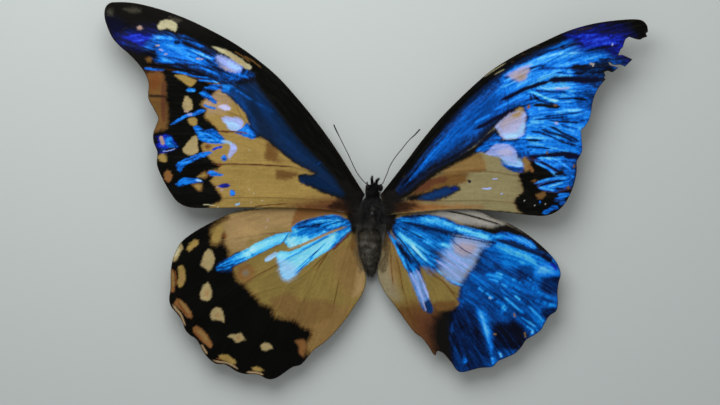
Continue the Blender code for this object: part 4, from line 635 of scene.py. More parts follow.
rightForewing = {
    "root": 6.1, "rise": 2.7, "span": 62.0, "trough": 0.0, "ground": "sand", "seed": 2, "veined": 0.5,
        "creaseShading": 0.1, "scuffed": 0.4, "eyespots": [38, 27, 2.2, 40, 19, 2.6, 40, 9, 2.6],
    "edge": [
        ("curve", [1.95, 4.3, 4, 6.9, 8, 12.1, 12, 17.4, 16, 22.2, 20, 26.3, 24, 30.1, 28, 33.5, 34, 37.2,
            40, 40.1, 46, 42.75, 52, 44.45, 58, 45.25, 62, 45.35, 63.4, 45, 64.4, 43.9, 64.63, 42.5]),
        ("straight", [64.1, 42, 64.55, 41.35, 63.4, 40.95, 62.85, 40.6, 62, 40.7, 60.2, 41.3, 59.4, 40.7,
            58.97, 39.6, 58.85, 38.95, 58.2, 38.3, 57.65, 36.95, 58.6, 37.1, 60.95, 36, 60.4, 35.4,
            59.25, 34.3, 58.2, 34.75, 56.5, 34.75, 55.65, 35.4, 55.4, 35.25, 55.7, 34.7, 57.8, 34.1,
            56.8, 33.3, 56.35, 32.95, 55.3, 33.4, 54.4, 33.1, 54.75, 32.2, 54.4, 31.7, 54.85, 31.4]),
        ("curve", [54.4, 31, 52.9, 29, 51.9, 26.6, 51.5, 24.3, 50.95, 21.9, 49.75, 20.05, 49.15, 19.6,
            49.1, 17.85, 49.3, 14.65, 48.6, 13.05, 48.1, 12.2, 47.95, 9.35, 47.15, 6, 45.55, 2.6, 43.6, 0.5,
            40.9, -0.6, 37.5, -0.55, 31.1, 0.2, 24.7, 0.75, 18, 0.75, 10, 0.1, 6, -0.3, 3.1, -0.7]),
        ("straight", [3.05, 0.6, 2.8, 2, 2.3, 3.3]),
    ],
    "veins": [
        [2.9, 4.4, 8, 11, 16, 20.9, 25, 29.6, 34, 35.9, 44, 40.7, 56, 43.7],
        [3.6, 3.4, 8, 8, 14, 14.6, 20, 20.8, 26, 26.2, 31, 30, 38, 34, 48, 38.6, 57, 41],
        [3.6, 2.4, 8, 4.6, 14, 8.6, 20, 12.6, 26, 16.6, 30, 20.4, 32, 25, 31, 30],
        [31.8, 27.4, 38, 31, 46, 33.6, 53.4, 34.2],
        [32, 25, 38, 27, 46, 28.9, 52, 28.9],
        [30, 20.4, 37, 22.6, 44, 23.6, 50.6, 23.4],
        [26, 16.6, 31, 17.1, 38, 17.3, 48.2, 15.8],
        [15, 9.4, 20, 10.05, 28, 9.75, 34.6, 8.9, 41, 9.3, 47.2, 9.6],
        [3.8, 1.4, 10, 2.7, 18, 2.9, 28, 2.9, 36, 2.2, 43.6, 2.0],
    ],
    "folds": [
        [38, 22, 46, 22.6, 50, 23.8],
        [37, 19.2, 41, 18.3, 45, 16.8, 48, 15.4],
        [39.5, 19.8, 44, 18.3, 48, 16.4],
        [41, 21.8, 44, 20.9, 48.6, 19.6],
        [39, 12.2, 43, 10.2, 46, 8.6],
        [38, 6.8, 42, 7.6, 46, 8.2],
        [40, 30, 44, 28.6, 50, 26],
        [40, 25, 45, 25.8, 51, 25.6],
        [38, 14.6, 43, 14.4, 48, 12.8],
    ],
    "marks": [
        ("area", "brown", 1.2, [8, 5, 15, 8.6, 23, 12, 22, 9, 17, 6, 9, 2]),
        ("area", "brown", 0.5, [16, 10.2, 18, 11.4, 20, 12.2, 22, 13.2, 24, 13.8, 25.6, 13.6, 26, 12.4,
            26.6, 10.8, 26.9, 10, 23, 9.6, 20, 9.8]),
        ("area", "brown", 0.8, [22.8, 9.4, 22.4, 8.4, 22.4, 7.4, 20.6, 6.8, 12, 5.4, 10, 6.6, 16, 8.8]),
        ("line", "russet", 0.7, [[11, 6.4, 15, 7.5, 18, 8], [9, 5.4, 14, 6.2]]),
        ("area", "tawny", 0.8, [16, 10.4, 20, 12.2, 25.6, 13.4, 26.6, 10.8, 22.6, 10, 18, 9.4]),
        ("line", "purple", 0.3, [22.5, 7.6, 23.3, 7.2]),
        ("area", "orange", 1.0, [7, 2.5, 12, 2.4, 18, 1.9, 26, 1.4, 18, 0.9, 12, 0.4, 6, 0.2]),
        ("area", "russet", 1.2, [3, 2.8, 8, 2.2, 12, 1.4, 8, 0.9, 3, 0.2]),
        ("area", "sable", 1.8, [2, 4.8, 7.4, 5.4, 9, 4.6, 8, 2.4, 5.4, -0.4, 2, -1.4]),
        ("line", "soot", 0.9, [3, 3.2, 6, 4, 9, 5.8, 13, 8.6, 17, 11.2, 21, 13.2, 25, 15.4, 28, 18.4,
            30, 20.8]),
        ("line", "soot", 0.9, [5, 5.6, 9, 9.8, 13, 14.8, 17, 19.8, 21, 24.4, 24, 27.2, 28, 30.6, 31, 33,
            35, 35.7, 41, 38.8, 49, 41.6, 57, 42.2]),
        ("line", "soot", 1.1, [4.2, 5, 6.4, 7.2, 9.6, 6.6, 7.6, 4.8, 5.6, 4.2]),
        ("area", "black", 0.5, [3, 3.4, 5.6, 5.4, 7, 7.6, 9.2, 10, 13, 15, 17, 20, 21, 24.6, 24, 27.4,
            28, 30.8, 31, 33.2, 34.6, 35.6, 38, 37.2, 41, 38.9, 45, 40.4, 49, 41.8, 53, 42.4, 57, 42,
            59.4, 41, 61, 38, 68, 38, 68, 50, 40, 46, 20, 32, 0, 6]),
        ("area", "navy", 0.5, [5, 4.4, 7, 7.6, 9.2, 10, 13, 15, 17, 20, 22.4, 26.2, 28, 31, 33, 34.8,
            39.6, 38.3, 45, 40.6, 51, 42.6, 57, 42.2, 60, 41.4, 63, 38, 60, 30, 53, 24, 51, 16, 48, 3,
            38, 5, 36, 12, 34, 16, 36.4, 24, 30, 21.2, 26, 17.3, 22, 14.3, 18, 12, 14, 9.8, 8, 5.2, 4, 3]),
        ("area", "blue", 0.35, [5.6, 5.4, 8, 8.4, 9.2, 9.6, 11.6, 13, 14.4, 16.4, 17, 19.4, 19.6, 22,
            22.4, 25.2, 24, 26.6, 28, 30.2, 31, 32.6, 33, 34, 36.6, 35.6, 39.6, 37.6, 43, 39.2, 47, 40.8,
            51, 42, 54, 42.2, 57, 41.8, 59, 40.8, 62, 37, 60, 33, 55, 27, 52, 20, 50, 14, 48.4, 13.4,
            47.6, 9, 46.6, 6, 43, 5, 38.8, 5.6, 38.2, 7.6, 40.6, 8.4, 39.6, 10.4, 37.4, 12, 36, 13.2,
            35.2, 15, 35.4, 16.6, 35.6, 18.6, 36, 21, 36, 23.4, 35, 24.6, 34, 24.2, 32, 22.8, 30, 21.4,
            28, 19.5, 26, 17.5, 22, 14.5, 18, 12.2, 14, 10, 8, 5.6, 5.4, 4]),
        ("glow", -0.06, 1.0, [22, 24, 26, 29.6, 31, 34, 30, 28, 31, 22.4, 26, 17.4]),
        ("glow", 0.11, 2.0, [36, 13, 36, 40, 52, 42, 54, 30, 48, 12]),
        ("calm", 0.5, 1.0, [8, 6, 16, 16, 26, 28, 30, 28, 33, 24, 26, 17, 14, 9]),
        ("glow", -0.3, 0.9, [6, 4, 9, 6.8, 13, 10.6, 18, 13.8, 24, 17.8, 28, 21, 34, 25.2, 37, 25.6,
            34, 23.4, 26, 16.4, 14, 9, 8, 4]),
        ("glow", -0.3, 1.6, [3, 3, 4.6, 6.6, 8.6, 8.4, 9.6, 7, 7, 4.6]),
        ("ray", -0.06, 0.7, [5, 5, 6, 5.6, 8, 7.6, 10, 9.8, 12, 12, 14, 13.6, 16, 15, 17.6, 16.6]),
        ("ray", 0.05, 1.9, [8, 8, 12, 12.4, 15, 15.4, 18, 18.4, 21, 21.4, 24, 24, 27, 26]),
        ("ray", -0.16, 0.9, [9, 8, 12, 10.2, 16, 12.8, 20, 15.6, 24, 18.6]),
        ("ray", 0.3, 0.3, [[28.6, 24.1, 30, 24.9, 32, 25.9, 34, 26.9, 36, 27.9, 37, 28.4], [24, 21.2,
            26, 22.2, 28, 23.2], [31, 31, 34, 32.2], [30, 29.4, 34, 31]]),
        ("glow", 0.14, 0.8, [28.5, 28, 30, 31, 36.6, 32.2, 37, 30, 33, 28]),
        ("line", "purple", 0.45, [[30, 26.4, 32, 27.2, 34, 28.2, 36, 29.2, 38, 29.8, 40, 30.5, 42, 31],
            [24, 19.6, 27, 21.1, 30, 22.7, 32, 23.7, 34, 24.6]]),
        ("line", "purple", 0.7, [41, 30.9, 43, 31.3, 46, 31.4, 50, 31.2, 54, 31.4]),
        ("glow", -0.46, 1.0, [47, 35.4, 50, 35.2, 55, 35.6, 57, 33, 56, 31, 52, 29.6, 48, 30.6]),
        ("area", "violet", 1.8, [45.4, 43.4, 52, 44, 60.6, 42.6, 61.6, 34, 57, 35.4, 54, 37.4, 48, 38.2]),
        ("glow", 0.06, 0.9, [46, 40.8, 48, 42.2, 52, 42, 55, 40.4, 51, 39.4]),
        ("glow", 0.14, 0.9, [36, 34.6, 39, 37, 44, 37.6, 48, 37.2, 47, 34.8, 40, 34]),
        ("glow", 0.16, 0.8, [34, 31.6, 38, 33.6, 46, 34, 49, 33.6, 46, 31.9, 38, 31]),
        ("glow", 0.16, 0.6, [36.8, 28.8, 39, 30, 46, 30.6, 49, 29.6, 47, 28.6, 40, 28.8]),
        ("glow", 0.1, 0.9, [41, 28.2, 50, 28, 51, 24.6, 42, 24]),
        ("glow", 0.18, 0.6, [36.6, 22.6, 37, 24, 38.4, 25.6, 40, 26.2, 41.6, 25.8, 40.8, 24.4, 42, 23.2,
            38, 22.4]),
        ("glow", 0.14, 0.9, [35.6, 14.4, 35.6, 21.6, 44, 22, 44, 16.4, 42, 14.2]),
        ("glow", 0.04, 0.8, [44, 14.4, 44, 21, 50, 23, 51, 20.6, 48.8, 14.6]),
        ("glow", -0.2, 0.9, [48, 28.6, 52, 28.6, 51.6, 24, 49, 24]),
        ("ray", 0.24, 0.36, [[40, 37.4, 42, 38.4, 44, 39.4, 46, 40.3, 48, 41], [44, 42, 48, 41.4, 53, 41.8],
            [41, 26.8, 44, 26.2, 48, 26.4], [38.6, 29.2, 42, 29.2, 46, 29.6]]),
        ("ray", 0.24, 0.26, [[46, 35, 50, 35.9, 54, 37, 56.6, 37.4], [48, 34.6, 51, 35.4, 56, 36.4],
            [36, 35, 40, 36.6, 44, 37.4, 48, 37.6, 50.5, 37.5], [50, 38.8, 54, 39.6, 58, 40], [42, 23.6,
            46, 24, 50, 24.4], [42, 22.7, 46, 23.1, 50, 23.7], [46, 19.9, 48.8, 19.5], [44, 27.6, 48, 27.4],
            [35.4, 17.8, 38, 17.9, 41, 17.4], [52, 40.4, 56, 41], [35.8, 33, 40, 34.4]]),
        ("ray", -0.44, 0.34, [[44, 39, 46, 39.3, 48, 39.6, 50, 39.6], [38, 36.4, 40, 37.4, 43, 38.4,
            46, 38.9], [39, 33.8, 42, 34, 44, 34, 48, 34.2, 50, 34.6], [34, 33, 38, 34.2, 41, 34.8],
            [38, 28.9, 42, 28.5, 46, 28.4], [38, 27, 41, 25.9, 43, 25.6]]),
        ("ray", -0.54, 0.24, [[37.2, 28, 37.4, 26.4], [37.6, 28, 39.2, 26.6], [38, 22, 42, 22.2, 46, 22.6],
            [40, 22.6, 45, 23.1, 50, 23.8], [37, 19.2, 39, 19, 41, 18.3, 43, 17.6], [41, 21.8, 45, 21.4,
            49, 21.2], [44, 20.9, 46, 20.2, 48.6, 19.6], [42, 18, 44, 17, 46, 16.3, 48, 15.9], [36, 15.6,
            39, 15.4, 42, 15], [43, 26.8, 47, 26.9, 50.6, 26.6], [50, 37.9, 54, 38.8, 58, 39.2], [53, 36,
            56, 36.2], [43, 33, 46, 32.7, 50, 32.8]]),
        # painted shade: the first two runs are dark lines along folds of the wing
        ("line", "navy", 0.3, [[39.5, 19.8, 42, 18.8, 44, 18.3, 46, 17.4, 48, 16.4], [41.5, 20.4, 43, 19.8,
            45, 18.6, 47, 17.7, 48.8, 16.6], [30, 16.8, 33, 17, 36, 17.1, 40, 17.1]]),
        ("line", "teal", 0.3, [36.5, 28.5, 38, 28.3, 40, 27.4, 42, 26.6, 44, 26.3]),
        ("ray", 0.5, 0.3, [36.5, 28.5, 38, 28.3, 40, 27.4, 42, 26.6, 44, 26.3]),
        ("line", "purple", 0.6, [[36, 13.3, 38, 13.1, 40, 13.3, 42, 13.6, 44, 13.8, 48, 13.9], [45, 13.3,
            47, 13.2, 48.6, 13.5]]),
        # pale costal streaks, grey scratches and small spots
        ("line", "sage", 0.12, [[26, 31.8, 28, 33.1, 30, 34.4, 31.4, 35.2], [28.8, 32.5, 30, 33.2,
            31.2, 33.8]]),
        ("line", "darkBrown", 0.12, [[32.6, 35.4, 33.4, 35.7], [35, 37.2, 36, 37.4], [38, 39.1, 39.4, 39.3],
            [48, 42.9, 52, 43.5]]),
        ("line", "warmGrey", 0.2, [[51, 35.1, 52.2, 34.9], [51.6, 34.6, 52, 34.5]]),
        # lavender and pale patches
        ("area", "blue", 0.35, [24.4, 14.6, 25.6, 16.4, 28, 19, 29.4, 19.4, 30, 17.6, 33, 17.2, 35.4, 18.6,
            37, 15, 36.4, 12.6, 35, 11.6, 34, 13, 30, 13.2, 27, 14, 25.4, 14.4]),
        ("ray", 0.3, 0.6, [30.6, 32, 33, 33.6, 36, 34.8, 38.4, 35.2]),
        ("area", "lavender", 0.4, [31.4, 32.4, 33, 33.2, 36, 34.6, 37.6, 34.8, 37, 34.2, 34, 33, 32, 32]),
        ("area", "greyPink", 0.6, [32.3, 31.9, 33, 32.8, 34.4, 33.4, 36, 33.9, 37, 34, 37, 33.4, 36.4, 32.6,
            36.4, 31.8, 35.6, 31.2, 34.6, 31, 33.4, 31.3]),
        ("area", "pinkTan", 0.7, [34.2, 31.9, 35, 32.3, 35.6, 32.2, 35.2, 31.7]),
        ("area", "tan", 0.3, [33.6, 24.1, 34.6, 24.8, 35.6, 24.6, 35.4, 23.9, 34.4, 23.6]),
        ("area", "lavender", 0.3, [29, 20.2, 30, 21.4, 31.4, 22.6, 33, 23.6, 34.6, 24, 36, 23.4, 36.2, 22.4,
            36, 21.2, 35.8, 20.4, 35.6, 19.4, 35.6, 18.4, 34.6, 17.8, 33.2, 17.4, 31.6, 17.4, 30.4, 18,
            29.9, 19.2]),
        ("area", "greyPink", 0.6, [29.6, 20.4, 31.4, 22.4, 33.6, 23.4, 35.2, 23.4, 34.6, 21.4, 33, 20.4,
            31, 19.4]),
        ("area", "fawn", 0.7, [32.6, 23, 34, 23.8, 35.4, 23.8, 34.8, 22.8, 33.6, 22.4]),
        ("area", "mist", 0.7, [30.4, 19.8, 33, 21.4, 35.4, 22.4, 35.4, 19.6, 34, 18.8, 31.4, 18.6]),
        ("area", "pale", 0.6, [31, 18.4, 34, 19.2, 35.8, 21.4, 35.6, 19, 33.4, 17.6, 31.6, 17.6]),
        ("area", "lavender", 0.25, [26.6, 13.9, 27.6, 15, 29, 16.1, 31, 16.2, 32.6, 15.8, 33.6, 15, 34, 14,
            33.8, 13, 33, 12.7, 30, 13, 28.6, 13.4]),
        ("area", "mist", 0.4, [29, 14.4, 31, 15.2, 33, 14.6, 33, 13.6, 31, 13.4]),
        ("area", "blue", 0.3, [30, 12.6, 32, 12.8, 35, 12.8, 36.4, 12, 36, 10.4, 34, 10, 32, 10.8,
            30.8, 11.6]),
        ("area", "pale", 0.5, [30.4, 13, 33, 13.2, 35, 12.4, 35.6, 11, 34, 10.6, 32, 11.2, 31, 12]),
        ("area", "lavender", 0.5, [31, 13, 33, 13.2, 34.4, 12.4, 33, 11.8, 31.6, 12.2]),
        ("area", "blue", 0.2, [[30.3, 11.6, 31.4, 10.6, 32.6, 9.9, 34, 9.5, 35.2, 9.2, 35.9, 9.8,
            35.4, 10.8, 34.4, 10.8, 32, 11.2], [25.2, 15.9, 26.6, 17.6, 28, 18.8, 29.4, 19.3, 29.8, 18.4,
            30.6, 17.6, 30.4, 16.8, 29, 16.6, 27.4, 16.2]]),
        ("line", "blue", 0.35, [24.4, 14.7, 25.8, 15.4, 28, 15.9]),
        ("line", "rust", 0.42, [36.5, 25, 37.1, 24.9]),
        ("line", "soot", 0.42, [37.8, 25.3, 40, 25.4, 42, 25, 44.4, 25]),
        ("line", "brown", 0.2, [42.6, 25.3, 43.5, 25.3]),
        ("line", "lavender", 0.3, [[42.8, 21.1, 43.7, 21], [56.1, 39.5, 56.5, 39.5]]),
        ("line", "mist", 0.24, [42.8, 29.2, 44.4, 29.2, 46.4, 29.4]),
        # dark corner at the rear
        ("rim", "black", 0.4, [36.8, 12.4, 38.4, 12.2, 40.8, 11.4, 42.4, 10, 43.4, 8.6, 42, 7.9, 39.6, 7.2,
            39, 6.4, 39.4, 5.8, 41.4, 5, 43.4, 4.9, 46, 5.6, 50, 5, 46, -2, 38, -2, 35, 0, 34, 1.4,
            33.4, 2.6, 34, 3.8, 35.4, 5, 35.2, 6.6, 34.6, 8.2, 34.4, 9.2, 36, 9.8]),
        ("line", "blue", 0.3, [[38, 12.1, 40, 11.2, 42, 10, 43, 9, 44, 8.4, 45.6, 8], [38, 6.8, 40, 7.5,
            42, 8, 44, 8.2, 46, 8.2], [40.5, 5.8, 42.5, 6.4, 45, 7.2, 47, 7.6], [39, 5.9, 41, 5.7, 43, 5.2,
            44, 5], [38.6, 12.9, 42, 12.8, 46, 12.6], [43.6, 4.3, 45.6, 4.4, 46.6, 4.3]]),
        ("line", "blue", 0.5, [[43.5, 12.2, 45, 11.4, 46.6, 10.2, 47.8, 9.6], [45, 8.9, 47.4, 8.6]]),
        ("ray", 0.36, 0.3, [[38, 12, 40, 11.2, 42, 10, 43, 9, 44, 8.4], [43.5, 12.2, 45, 11.4, 46.6, 10.2],
            [38, 6.8, 40, 7.5, 42, 8, 44, 8.2, 46, 8.2], [41, 6, 42.5, 6.4, 45, 7.2], [39, 5.9, 41, 5.7,
            43, 5.2], [39, 12.9, 42, 12.8, 45, 12.6]]),
        ("line", "purple", 0.24, [[39, 12.2, 41, 11.4, 43, 10.2, 45, 9, 46, 8.6], [39, 6.2, 41, 6.9,
            43, 7.4, 45, 7.7], [43, 5.8, 45, 5.6]]),
        ("area", "soot", 0.4, [42.8, 8.8, 43.4, 10, 44.8, 10.4, 45, 9.2, 44, 8.7]),
        ("area", "tawny", 0.35, [35.2, 12.8, 36, 13.1, 36.8, 12.4, 37.2, 11.4, 36.8, 10, 36.2, 9.8,
            35.6, 11, 35.3, 12]),
        ("line", "rust", 0.4, [36.4, 11.2, 37.2, 10.6, 37.8, 9.6]),
        ("area", "brown", 0.3, [37.4, 7.4, 38.2, 7.9, 38.9, 7.5, 38.2, 7]),
        ("area", "brown", 0.28, [38.4, 4.4, 39.4, 4.6, 40.6, 5, 40.8, 4.2, 40, 3.4, 39, 3.4]),
        ("line", "blue", 0.4, [39.2, 2.6, 39.6, 2.6]),
        ("line", "brown", 0.36, [[45.8, 6, 46.3, 6], [47.2, 11, 47.6, 11]]),
        ("line", "blue", 0.45, [[40, 0, 41.4, 0.5, 42.8, 1.4, 43.8, 1], [42.6, 2.8, 44.2, 3.4, 46, 4.4],
            [44, 2, 45.4, 3]]),
        ("line", "brown", 0.3, [40.9, 14.2, 41.4, 14.2]),
        # rear of the cell
        ("area", "soot", 0.45, [9, 3, 12, 2.8, 15, 3, 18, 3.8, 20.8, 5.6, 20.6, 6.2, 18, 6.4, 12, 4.8,
            8, 3.7]),
        ("area", "steel", 0.6, [11, 3.3, 13, 3.2, 16, 3.7, 18.6, 4.8, 20.1, 5.7, 19.4, 6, 18, 5.9, 16, 5.4,
            14, 4.8, 12, 4.2]),
        ("line", "violet", 0.26, [18.4, 5.5, 19.9, 5.8]),
        ("line", "lavender", 0.16, [[28.3, 8, 29.5, 8.05], [25.8, 5.8, 27, 5.7, 28.2, 5.85]]),
        ("line", "lavender", 0.12, [30.2, 4.5, 30.8, 4.5]),
        ("line", "umber", 0.14, [21.6, 1, 24, 0.8, 26, 0.6, 30, 0.35, 37, -0.3]),
    ],
    "specks": [35.8, 2.9, 38.2, 1.8, 40.7, 2.1],
}

